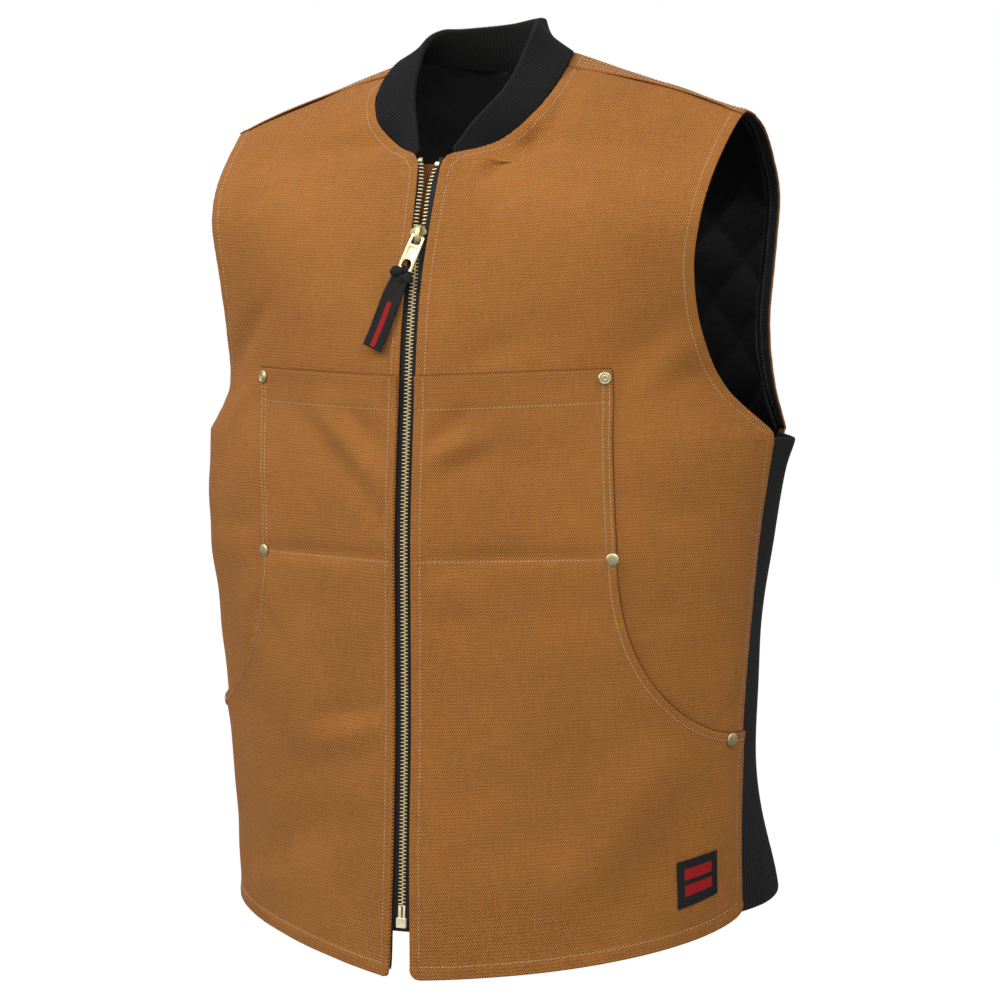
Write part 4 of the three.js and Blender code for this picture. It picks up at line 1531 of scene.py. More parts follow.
    @staticmethod
    def corner(v: Array, radius: float) -> Array:
        """Millimetres cut off at rows v by a rounded corner at the hem."""
        drop = np.clip(radius - v, 0, radius)
        return radius - np.sqrt(radius**2 - drop**2)

    def columns(self, v: Array) -> list[Array]:
        """The front's shares across, with its neck corner and its armpit corner rounded."""
        shares = self.loft.columns(v, CENTRE_STEPS, EDGE_STEPS, self.steps_across)
        return self.trim(shares, v, self.armpit_cut)

    def layer_lift(self, points: Array, v: Array) -> Array:
        """How far the pocket layer stands off the front, in millimetres.

        Args:
            points: Places on the front.
            v: Their rows.

        Returns:
            Millimetres outwards.
        """
        gap = np.full(len(points), 1e9)
        share = np.zeros(len(points))
        for i, place in enumerate(self.mouth):
            far = np.linalg.norm(points - place, axis=-1)
            share = np.where(far < gap, i / (len(self.mouth) - 1), share)
            gap = np.minimum(gap, far)
        spread = np.sin(math.pi * np.clip(share, 0, 1)) ** 0.8
        open_mouth = self.gape * bell(gap / (self.gape_reach * MM)) * spread
        hem = 0.5 * (1 - ease(5, 8, gap / MM)) - 0.35 * bell((gap / MM - STITCH_IN) / 1.3)
        below = self.top_row - v
        rim = 0.55 * (1 - ease(28, 29.6, below)) - 0.35 * bell((below - self.rim_depth) / 1.3)
        slack = self.slack * bell(below / self.slack_reach)
        return np.maximum(open_mouth + hem + rim + slack, 0)

    def on_layer(self, s: Array, v: Array) -> tuple[Array, Array]:
        """Places and directions on the outside of the pocket layer.

        Args:
            s: Shares across.
            v: Millimetres up.

        Returns:
            The places and the directions.
        """
        points, normals = self.loft.place(s, v)
        lift = self.layer_lift(points, v) + self.layer_gap + self.layer
        return points + normals * lift[:, None] * MM, normals

    def build(self) -> None:
        """Make the front, the pocket layer and the stitches."""
        rows = self.loft.rows_between(0, self.loft.top + self.under, HEM_STEPS)
        word = self.side.word
        front = wall(f"canvas_front_{word}", self.loft.net(self.columns(rows), rows), 0, -self.canvas)
        fit(front, CANVAS, [f"front_{word}"])
        net = self.layer_net()
        lift = self.layer_lift(net.points, net.flat[:, 1] / MM) + self.layer_gap
        pocket = wall(f"canvas_pocket_{word}", net, lift + self.layer, lift)
        fit(pocket, CANVAS, [f"pocket_{word}"])
        self.painted_shadow()
        self.turning()
        main, edge = self.sew()
        main.build(f"stitches_front_{word}", CREAM)
        # The side-edge stitches use the darker thread: painted shade in the sunk seam.
        edge.build(f"stitches_side_{word}", SHADED_SIDE_THREAD)

    def turning(self) -> None:
        """Make the black facing whose edge shows at the centre below the zip.
        """
        rows = np.linspace(*self.facing, 14)
        inset = np.array((-1.3, -0.9, 0.0, 3.0, 6.0, 10.0))
        net = self.loft.net([inset / wide for wide in self.loft.spans(rows)[0]], rows)
        strip = wall(f"facing_centre_{self.side.word}", net, -1.5, -2.2, 3)
        fit(strip, FACING_TWILL)

    def painted_shadow(self) -> None:
        """Make a dark strip just past the pocket layer's edge: painted shadow round its top, upright and
        opening edges.
        """
        down = np.linspace(self.top_row, self.mouth_row, 69)
        down = np.sort(np.append(down, self.armpit))[::-1]
        across = np.linspace(0.006, self.edge_share(down[:1])[0], 70)
        open_s, open_v = self.opening(np.linspace(0, math.pi / 2 - 0.02, 110), 0.0)
        s = np.concatenate([across[:-1], self.edge_share(down)[:-1], open_s])
        v = np.concatenate([np.full(69, self.top_row), down[:-1], open_v])
        widths = np.array(self.shadow_widths)
        lines = [self.loft.aside(s, v, width) for width in widths]
        columns = [self.loft.place(*line) for line in lines]
        points = np.stack([column[0] for column in columns], axis=1)
        normals = np.stack([column[1] for column in columns], axis=1)
        run = run_of(points[:, 1])
        flat = np.stack(np.broadcast_arrays(widths[None] * MM, run[:, None]), axis=-1).reshape(-1, 2)
        net = Net.from_rows(points.reshape(-1, 3), normals.reshape(-1, 3), flat, [len(widths)] * len(s))
        lift = self.layer_lift(net.points, np.stack([line[1] for line in lines], axis=1).ravel())
        lift = lift + self.layer_gap - 0.04
        strip = wall(f"canvas_binding_{self.side.word}", net, lift, lift - 0.25, 3)
        fit(strip, SHADED_CANVAS)

    def layer_net(self) -> Net:
        """The pocket layer's net, whose rows and columns meet along the hand opening.

        Returns:
            The net.
        """
        close_by = np.arcsin(np.linspace(0, self.mouth_share, self.mouth_steps + 1) ** (1 / self.fullness))
        far_off = np.linspace(close_by[-1], math.pi / 2, self.opening_steps + 1)
        turns = np.concatenate([close_by[:-1], far_off])
        steps = len(turns) - 1
        below = list(self.loft.rows_between(0, self.foot_row, HEM_STEPS))
        curve = self.mouth_row + (self.foot_row - self.mouth_row) * np.sin(turns[::-1]) ** self.fullness
        close = [self.top_row - d for d in RIM_STEPS]
        above = self.loft.rows_between(self.mouth_row, self.top_row)[1:]
        above = [v for v in above if v < close[0] - 2] + close
        rows = np.array([*below, *curve[1:], *above])
        edge = self.edge_share(rows)
        centre = np.array(CENTRE_STEPS)[None] / self.loft.spans(rows)[0][:, None]
        beside = np.array(BESIDE_STEPS)[None]
        beside = edge[:, None] - beside / self.loft.spans(rows)[1][:, None] * 0.7
        between = np.linspace(0, 1, 25)[None, 1:-1]
        middle = centre[:, -1:] + (beside[:, :1] - centre[:, -1:]) * between
        first = np.hstack([centre, middle, beside])
        shares = []
        for i, v in enumerate(rows):
            cut = min(max(i - (len(below) - 1), 0), steps)
            far = turns[1 : steps + 1 - cut]
            beyond = 1 - (1 - edge[i]) * np.cos(far) ** self.fullness
            shares.append(np.concatenate([first[i], beyond]))
        return self.loft.net(self.trim(shares, rows), rows)

    def sew(self) -> tuple[Thread, Thread]:
        """Lay every row of stitches on the front and its pocket layer.

        Returns:
            The thread, and the thread sunk in the side edge.
        """
        thread, sunk = Thread(), Thread()
        loft = self.loft

        def line(low: float, high: float) -> Array:
            """Close rows from low to high."""
            return np.linspace(low, high, max(8, int(abs(high - low) / 2)))

        low = line(HEM_STITCH, self.top_row - 1)
        thread.sew(*self.on_layer(loft.from_inner(STITCH_IN, low), low))
        high = np.concatenate([line(self.top_row + 2, self.neck - 8), line(self.neck + 1, loft.top - 3)])
        thread.sew(*loft.place(loft.from_inner(STITCH_IN, high), high))
        side_low = line(HEM_STITCH, self.foot_row - 1)
        sunk.sew(*self.on_layer(loft.from_outer(STITCH_IN, side_low), side_low))
        side_high = line(self.foot_row + 2, self.armpit - 2.5)
        sunk.sew(*loft.place(loft.from_outer(STITCH_IN, side_high), side_high))
        arm = line(self.armpit + 0.5, loft.top - 2)
        thread.sew(*loft.place(loft.from_outer(STITCH_IN, arm), arm))
        foot = np.array([HEM_STITCH])
        hem = np.linspace(loft.from_inner(STITCH_IN, foot)[0], loft.from_outer(STITCH_IN, foot)[0], 150)
        thread.sew(*self.on_layer(hem, HEM_STITCH / loft.rate(hem, 0)))
        for row, inset in ((self.top_row - self.rim_depth, 0.8), (self.mouth_row - self.line_drop, 3.0)):
            reach = self.edge_share(np.array([row]), inset)[0]
            thread.sew(*self.on_layer(np.linspace(0.008, reach, 90), np.full(90, row)))
        edge = line(self.top_row - 2, self.mouth_row - 8)
        for inset in (1.9, 6.3):
            thread.sew(*self.on_layer(self.edge_share(edge, inset), edge))
        turns = np.linspace(0.02, math.pi / 2 - 0.01, 120)
        thread.sew(*self.on_layer(*self.opening(turns, 5.4)))
        return thread, sunk


@dataclass
class CanvasBack:
    """The canvas back, lapped over the fronts at the shoulders, with its stitches."""

    canvas: float = 1.4
    arm_seam: Seam = ARM_SEAM
    side_seam: Seam = SIDE_SEAM
    hem_seam: Seam = Seam(9.5, 0.6, 0.4, 0.2)
    hang: Hang = Hang(size=0.9, phase=2.3)
    lap_rows: tuple[float, ...] = (2.0, 7.0, 12.0)
    over: float = 1.6
    steps_across: int = 46
    side_round: float = 16.0

    def __post_init__(self) -> None:
        """Set both halves out."""
        self.lofts = {
            side: Loft(BACK_ROWS, BACK_CHANGES[side], "neck_back", "armpit", side, -1) for side in Side
        }
        for loft in self.lofts.values():
            loft.relief = self.relief
        self.any = self.lofts[Side.LEFT]
        self.neck = self.any.marks["neck_back"]
        self.armpit = self.any.marks["armpit"]

    def relief(self, s: Array, v: Array, points: Array) -> Array:
        """The back's seams and hang, in millimetres.

        Args:
            s: Shares across.
            v: Millimetres up.
            points: The smooth cloth's places in metres.

        Returns:
            Millimetres outwards.
        """
        outer = (1 - s) * self.any.spans(v)[1]
        armed = ease(self.armpit - 8, self.armpit + 8, v)
        total = (1 - armed) * self.side_seam.relief(outer, v) + armed * self.arm_seam.relief(outer, v)
        total += self.hem_seam.relief(v, points[..., 0] / MM)
        left = (self.any.top - v) * self.any.rate(s, self.any.top - 1)
        total += 0.45 * (1 - ease(12.5, 17, left)) - 0.25 * bell((left - 14.0) / 1.5)
        return total + self.hang.relief(points) * ease(0, 25, outer) * ease(6, 40, left)

    def build(self) -> None:
        """Make the back and its stitches."""
        rows = self.any.rows_between(0, self.any.top + self.over, HEM_STEPS)
        nets = []
        for loft in self.lofts.values():
            cut = CanvasFront.corner(rows, self.side_round) / loft.spans(rows)[1]
            shares = loft.columns(rows, (0.0,), EDGE_STEPS, self.steps_across)
            nets.append(loft.net([s * (1 - c) for s, c in zip(shares, cut)], rows))
        back = wall("canvas_back", nets[0].joined(nets[1]), 0, -self.canvas)
        fit(back, CANVAS, ["back"])
        thread = Thread()
        for loft in self.lofts.values():
            self.sew_half(thread, loft)
        thread.build("stitches_back", CREAM)

    def sew_half(self, thread: Thread, loft: Loft) -> None:
        """Lay one half's rows of stitches.

        Args:
            thread: The thread to lay.
            loft: The half.
        """
        low = np.linspace(HEM_STITCH, self.armpit - 6, 200)
        high = np.linspace(self.armpit + 5, loft.top - 1, 150)
        side = np.concatenate([low, high])
        thread.sew(*loft.place(loft.from_outer(STITCH_IN, side), side))
        hem = np.linspace(0, loft.from_outer(STITCH_IN, np.array([HEM_STITCH]))[0], 130)
        thread.sew(*loft.place(hem, HEM_STITCH / loft.rate(hem, 0)))
        neck = np.linspace(self.neck, loft.top - 2, 90)
        inset = loft.from_inner(STITCH_IN, neck) * ease(self.neck - 1, self.neck + 12, neck)
        thread.sew(*loft.place(inset, neck))
        lap = np.linspace(0.01, 0.99, 90)
        for distance in self.lap_rows:
            thread.sew(*loft.place(lap, loft.top - distance / loft.rate(lap, loft.top - 1)))


def rib(turns: Array) -> Array:
    """A rounded rib for each whole turn, 0 in the grooves and 1 on the crest."""
    return 1 - np.abs(2 * (turns - np.floor(turns)) - 1) ** 2.4


@dataclass
class SideRib:
    """A ribbed knit side panel, tucked behind the canvas edges."""

    side: Side
    depth: float = 2.3
    knit: float = 2.4
    ribs: int = 44
    rib_height: float = 0.75
    tuck: float = 9.0
    steps: int = 5
    hem_rise: float = -1.5
    hem_tuck: float = 7.0
    hem_curve: float = 32.0
    top: float = field(default=0.0, init=False)

    def build(self) -> None:
        """Make the panel."""
        rows = []
        for front, back in zip(altered(FRONT_ROWS, FRONT_CHANGES[self.side]), BACK_ROWS):
            start = (front.ox, front.oy, front.oz)
            stop = (back.ox, back.oy, back.oz)
            rows.append(Row(front.name, *start, *stop, front.arrive, 180 + back.arrive))
            if front.name == "armpit":
                break
        loft = Loft(rows, {}, "", "", self.side)
        loft.relief = self.relief
        self.top = loft.top
        up = loft.rows_between(self.hem_rise, loft.top - 6, (0.0, 0.8, 2.0, 4.0, 8.0))
        wide_in, wide_out = loft.spans(up)
        turns = np.linspace(0, self.ribs, self.ribs * self.steps + 1)
        shares = []
        for a, b in zip(wide_in, wide_out):
            whole = 1 + self.tuck / a + self.tuck / b
            shares.append(-self.tuck / a + turns / self.ribs * whole)
        net = loft.net(shares, up)
        place = np.clip(np.concatenate(shares), 0, 1)
        low = 1 - ease(self.hem_rise, self.hem_rise + 60, np.repeat(up, len(turns)))
        net.points[:, 2] += self.hem_curve * place * (place - 0.45) * low * MM
        net.points -= net.normals * (self.hem_tuck * ease(0.86, 0.98, place) * low * MM)[:, None]
        crest = np.tile(rib(turns), len(up)) * self.rib_height
        outer, inner = -self.depth + crest - 0.3, -self.depth - self.knit - crest * 0.6
        panel = wall(f"knit_side_{self.side.word}", net, outer, inner)
        fit(panel, KNIT, [f"side_rib_{self.side.word}"])

    def relief(self, s: Array, v: Array, points: Array) -> Array:
        """The panel's folded top edge and its soft give, in millimetres.

        Args:
            s: Shares across.
            v: Millimetres up.
            points: The smooth cloth's places in metres.

        Returns:
            Millimetres outwards.
        """
        middle = np.sin(math.pi * np.clip(s, 0, 1)) ** 2
        rolled = 2.5 * bell((self.top - 6 - v) / 14)
        flared = 8.0 * bell(v / 75)
        full = 8.0 * bell((v - 290) / 62) + 5.5 * bell((v - 178) / 60)
        return (4.0 + 1.0 * np.sin(v / 52.0 + 0.8) + flared + full + rolled) * middle


@dataclass
class Collar:
    """The folded rib-knit collar, one strip from one front end round the back to the other."""

    knit: float = 4.4
    left_rise: float = 6.0
    right_rise: float = 1.5
    left_lean: tuple[float, ...] = (0.0, 0.0, 4.0, 1.5, 1.5, 1.5, 1.0, 0.0)
    sag: float = 4.2
    nip: float = 2.2
    centre: float = 10.0
    reach: float = 35.0
    level: float = 14.0
    end_gap: float = 0.06
    rib_pitch: float = 3.0
    rib_height: float = 0.85
    steps: int = 5
    rows: int = 12

    def __post_init__(self) -> None:
        """Set the stations out."""
        self.table = np.array([astuple(station)[1:] for station in COLLAR_STATIONS], float)
        self.half = len(COLLAR_STATIONS) - 1
        past = self.table[-2] * np.array([-1, 1, 1, -1, 1, 1, 1])
        self.table = np.vstack([self.table, past])

    def point(self, along: Array, rise: Array) -> Array:
        """Places on the middle of the knit, in metres.

        Args:
            along: Stations from the middle of the back, negative on the wearer's right.
            rise: Shares from the seam, 0, to the folded edge, 1.

        Returns:
            The places.
        """
        along, rise = np.broadcast_arrays(np.asarray(along, float), np.asarray(rise, float))
        row = spline(np.arange(self.half + 2.0), self.table, [-1] * 7, self.half - np.abs(along))
        base, top = row[..., 0:3], row[..., 3:6]
        place = base + (top - base) * rise[..., None]
        out = unit(np.stack([base[..., 0], base[..., 1] - self.centre], axis=-1))
        swell = row[..., 6] * np.sin(math.pi * rise)
        sign = np.where(along < 0, -1.0, 1.0)
        station = self.half - np.abs(along)
        leans = np.array(self.left_lean)[:, None]
        lean = spline(np.arange(self.half + 1.0), leans, [-1], station)[..., 0] * (sign > 0)
        x = place[..., 0] + out[..., 0] * swell + lean * rise
        y = place[..., 1] + out[..., 1] * swell
        lift = np.where(along < 0, self.right_rise, self.left_rise)
        lift = lift * (np.hypot(x, self.level) - self.level) / self.reach
        lift -= self.sag * bell((along + 1.0) / 1.15) + self.nip * bell((along - 1.3) / 0.5)
        z = place[..., 2] + lift * rise - NECK_HEIGHT
        return np.stack([x * sign, y, z], axis=-1) * MM

    def build(self) -> None:
        """Make the collar."""
        end = self.half - self.end_gap
        tries = np.linspace(-end, end, 3000)
        line = self.point(tries, np.full(3000, 0.4))
        run = run_of(line) / MM
        ribs = round(run[-1] / self.rib_pitch)
        turns = np.linspace(0, ribs, ribs * self.steps + 1)
        along = np.interp(turns / ribs * run[-1], run, tries)
        rise = np.linspace(0, 1, self.rows + 1)
        wide, high = np.meshgrid(along, rise)
        d = 0.03
        points = self.point(wide, high)
        across = self.point(wide + d, high) - self.point(wide - d, high)
        up = self.point(wide, high + d) - self.point(wide, high - d)
        normals = unit(np.cross(across, up)).reshape(-1, 3)
        folds = self.point(along, np.ones_like(along)) - self.point(along, np.zeros_like(along))
        heights = np.linalg.norm(folds, axis=-1)
        places = np.broadcast_to(turns * self.rib_pitch * MM, wide.shape)
        flat = np.stack([places, high * heights[None]], axis=-1)
        lengths = [len(along)] * len(rise)
        net = Net.from_rows(points.reshape(-1, 3), normals, flat.reshape(-1, 2), lengths)
        taper = 0.55 + 0.45 * ease(0, 40, np.minimum(turns, ribs - turns) * self.rib_pitch)
        size = np.tile(taper * self.knit / 2, len(rise))
        crest = np.tile(rib(turns) * self.rib_height, len(rise))
        outer = size + crest - self.rib_height / 2
        collar = wall("knit_collar", net, outer, -outer, 6)
        fit(collar, KNIT, ["collar_rib"])
        # The inner faces get the darker knit: painted shade inside the collar.
        collar.data.materials.append(SHADED_KNIT.material())
        inside = np.zeros(len(collar.data.polygons), np.int32)
        inside[len(net.faces) : 2 * len(net.faces)] = 1
        collar.data.polygons.foreach_set("material_index", inside)


@dataclass
class Lining:
    """The diamond-quilted lining and the black facings inside the armholes."""

    front: dict[Side, CanvasFront]
    back: CanvasBack
    outer: float = -3.2
    cloth: float = 0.9
    puff: float = 3.3
    diamond: float = 46.0
    facing: float = 15.0
    facing_lift: tuple[float, float] = (-1.75, -2.75)
    centre_in: float = 28.0
    edge_in: float = 11.0
    hem_in: float = 16.0
    top_in: float = 8.0
    front_steps: int = 60
    back_steps: int = 56
    yoke_drop: float = 105.0
    yoke_wide: float = 115.0

    def quilt(self, net: Net) -> Array:
        """How far the wadding swells at each place of a net, in millimetres.

        Args:
            net: The sampled lining.

        Returns:
            Millimetres inwards.
        """
        a = (net.flat[:, 0] + net.flat[:, 1]) / MM / math.sqrt(2) / self.diamond
        b = (net.flat[:, 0] - net.flat[:, 1]) / MM / math.sqrt(2) / self.diamond
        swell = np.abs(np.sin(math.pi * a) * np.sin(math.pi * b))
        return self.puff * swell**0.45

    def build(self) -> None:
        """Make the three quilted pieces and the four facings."""
        for side, front in self.front.items():
            loft = front.loft
            rows = loft.rows_between(self.hem_in, loft.top - self.top_in)
            net = loft.net(loft.columns(rows, (self.centre_in,), (self.edge_in,), self.front_steps), rows)
            self.pad(f"lining_front_{side.word}", net, self.quilt(net))
            self.face(f"facing_front_{side.word}", loft, front.armpit)
        nets = []
        for side, loft in self.back.lofts.items():
            rows = loft.rows_between(self.hem_in, loft.top - self.top_in)
            nets.append(loft.net(loft.columns(rows, (0.0,), (self.edge_in,), self.back_steps), rows))
            self.face(f"facing_back_{side.word}", loft, self.back.armpit)
        net = nets[0].joined(nets[1])
        back = self.pad("lining_back", net, self.yoke(net))
        back.data.materials.append(NECK_SATIN.material())
        high, wide = -self.yoke_drop * MM, self.yoke_wide * MM
        centres = [face.center for face in back.data.polygons]
        satin = [int(at.z > high and abs(at.x) < wide) for at in centres]
        back.data.polygons.foreach_set("material_index", satin)

    def yoke(self, net: Net) -> Array:
        """How far the plain piece below the collar swells and gathers, in millimetres.

        Args:
            net: The back's sampled lining.

        Returns:
            The swell at each place, with the quilting under the plain piece's lower seam.
        """
        across, below = net.points[:, 0] / MM, -net.points[:, 2] / MM
        gathers = np.sin(across / 3.4 + 1.5 * np.sin(across / 11)) * bell((below + 4) / 26)
        folds = np.sin(across / 9 + below / 14) + np.sin(below / 8 - across / 21)
        plain = 1.4 + 0.7 * gathers + 0.5 * folds * ease(4, 20, below)
        quilted = ease(self.yoke_drop - 7, self.yoke_drop + 7, below)
        quilted = np.maximum(quilted, ease(self.yoke_wide - 7, self.yoke_wide + 7, np.abs(across)))
        return quilted * self.quilt(net) + (1 - quilted) * plain

    def pad(self, name: str, net: Net, swell: Array) -> Piece:
        """Make one quilted piece.

        Args:
            name: The node that it stands for, and its own name.
            net: Its sampled cloth.
            swell: How far the wadding swells at each place, in millimetres.

        Returns:
            The piece.
        """
        pad = wall(f"quilted_{name}", net, self.outer, self.outer - self.cloth - swell, 3)
        fit(pad, TAFFETA, [name])
        return pad

    def face(self, name: str, loft: Loft, armpit: float) -> None:
        """Make one armhole's facing with its row of stitches.

        Args:
            name: The facing's name.
            loft: The cloth that it faces.
            armpit: The row at which the armhole starts.
        """
        rows = loft.rows_between(armpit + 1, loft.top - 1)
        wide = loft.spans(rows)[1]
        inset = np.array([self.facing, 12.0, 9.0, 7.5, 7.0, 6.5, 5.0, 2.0, 0.6])
        shares = [1 - inset / w for w in wide]
        net = loft.net(shares, rows)
        strip = wall(name, net, *self.facing_lift, 3)
        fit(strip, FACING_TWILL)
        thread = Thread()
        line = np.linspace(armpit + 6, loft.top - 3, 150)
        points, normals = loft.place(loft.from_outer(8, line), line, self.facing_lift[1])
        thread.sew(points, -normals)
        # The facing's stitches use the darker thread: painted shade inside the armhole.
        thread.build(f"stitches_{name}", SHADED_FACING_THREAD)


class Bench:
    """Models hard pieces with operators, as by hand."""

    @staticmethod
    def clear() -> None:
        """Leave nothing selected, in object mode."""
        if bpy.context.object and bpy.context.object.mode != "OBJECT":
            bpy.ops.object.mode_set(mode="OBJECT")
        bpy.ops.object.select_all(action="DESELECT")

    @classmethod
    def take(cls, piece: Piece) -> None:
        """Select one piece and make it active.

        Args:
            piece: The piece.
        """
        cls.clear()
        piece.select_set(True)
        bpy.context.view_layer.objects.active = piece

    @classmethod
    def box(cls, size: Triple, at: Triple) -> Piece:
        """A block of a size at a place, in millimetres.

        Args:
            size: Its three sides.
            at: Its middle.

        Returns:
            The block.
        """
        cls.clear()
        place, scale = (tuple(c * MM for c in values) for values in (at, size))
        bpy.ops.mesh.primitive_cube_add(size=1, location=place, scale=scale)
        return cls.settled()

    @classmethod
    def disc(cls, radius: float, depth: float, at: Triple, corners: int = 32) -> Piece:
        """A disc lying flat at a place, in millimetres.

        Args:
            radius: Its radius.
            depth: Its thickness.
            at: Its middle.
            corners: Corners round it.

        Returns:
            The disc.
        """
        cls.clear()
        place = tuple(c * MM for c in at)
        sizes = {"radius": radius * MM, "depth": depth * MM}
        bpy.ops.mesh.primitive_cylinder_add(vertices=corners, location=place, **sizes)
        return cls.settled()

    @staticmethod
    def settled() -> Piece:
        """The active piece with its place and size put into its mesh."""
        bpy.ops.object.transform_apply(location=True, rotation=True, scale=True)
        return bpy.context.object

    @classmethod
    def pick(cls, piece: Piece, test: Callable[[Vector, Vector], bool]) -> None:
        """Go into edit mode with the faces selected that pass a test of centre (mm) and normal.

        Args:
            piece: The piece.
            test: Says whether a face is wanted.
        """
        cls.take(piece)
        bpy.ops.object.mode_set(mode="EDIT")
        bpy.ops.mesh.select_mode(type="FACE")
        bpy.ops.mesh.select_all(action="DESELECT")
        work = bmesh.from_edit_mesh(piece.data)
        for face in work.faces:
            face.select_set(bool(test(face.calc_center_median() / MM, face.normal)))
        bmesh.update_edit_mesh(piece.data)

    @staticmethod
    def inset(width: float, rise: float) -> None:
        """Inset the selected face by a width and move it by a rise, in millimetres."""
        bpy.ops.mesh.inset(thickness=width * MM, depth=0)
        bpy.ops.transform.translate(value=(0, 0, rise * MM))

    @classmethod
    def widen(cls, piece: Piece, test: Callable[[Vector], bool], scale: Triple) -> None:
        """Scale the corners that pass a test of their place (mm) about the origin.

        Args:
            piece: The piece.
            test: Says whether a corner is wanted.
            scale: Factors along x, y and z.
        """
        cls.take(piece)
        bpy.ops.object.mode_set(mode="EDIT")
        bpy.ops.mesh.select_mode(type="VERT")
        bpy.ops.mesh.select_all(action="DESELECT")
        work = bmesh.from_edit_mesh(piece.data)
        for corner in work.verts:
            corner.select_set(bool(test(corner.co / MM)))
        work.select_flush_mode()
        bmesh.update_edit_mesh(piece.data)
        bpy.ops.transform.resize(value=scale, center_override=(0, 0, 0))
        cls.clear()

    @classmethod
    def change(cls, piece: Piece, kind: str, **settings: object) -> None:
        """Add a modifier and apply it.

        Args:
            piece: The piece.
            kind: The modifier's type.
            settings: Its properties.
        """
        cls.take(piece)
        modifier = piece.modifiers.new(kind.lower(), kind)
        for key, value in settings.items():
            setattr(modifier, key, value)
        bpy.ops.object.modifier_apply(modifier=modifier.name)

    @classmethod
    def cut(cls, piece: Piece, tool: Piece) -> None:
        """Cut a tool's shape out of a piece, and put the tool away."""
        cls.change(piece, "BOOLEAN", operation="DIFFERENCE", object=tool, solver="EXACT")
        bpy.data.objects.remove(tool)

    @classmethod
    def round_off(cls, piece: Piece, width: float, steps: int = 2, angle: float = 32.0) -> None:
        """Round a piece's sharp edges by a width in millimetres, and shade it.

        Args:
            piece: The piece.
            width: The width.
            steps: Steps across each edge.
            angle: Degrees past which an edge is sharp.
        """
        limit = math.radians(angle)
        cls.change(piece, "BEVEL", width=width * MM, segments=steps, limit_method="ANGLE", angle_limit=limit)
        cls.take(piece)
        bpy.ops.object.shade_smooth_by_angle(angle=math.radians(40))

    @classmethod
    def gather(cls, name: str, pieces: Sequence[Piece], matrix: Matrix) -> Piece:
        """Join pieces into one, put in place through a matrix in metres.

        Args:
            name: The joined piece's name.
            pieces: The pieces.
            matrix: From the bench to the vest.

        Returns:
            The joined piece.
        """
        cls.clear()
        for piece in pieces:
            piece.select_set(True)
        bpy.context.view_layer.objects.active = pieces[0]
        if len(pieces) > 1:
            bpy.ops.object.join()
        made = bpy.context.object
        made.name = name
        made.data.name = name
        made.data.transform(matrix)
        made.data.update()
        return made

    @classmethod
    def copy(cls, model: Piece, name: str, matrix: Matrix) -> Piece:
        """A copy of a model with its own mesh, put in place through a matrix.

        Args:
            model: The model.
            name: The copy's name.
            matrix: From the bench to the vest.

        Returns:
            The copy.
        """
        made = bpy.data.objects.new(name, model.data.copy())
        made.data.transform(matrix)
        bpy.context.scene.collection.objects.link(made)
        return made


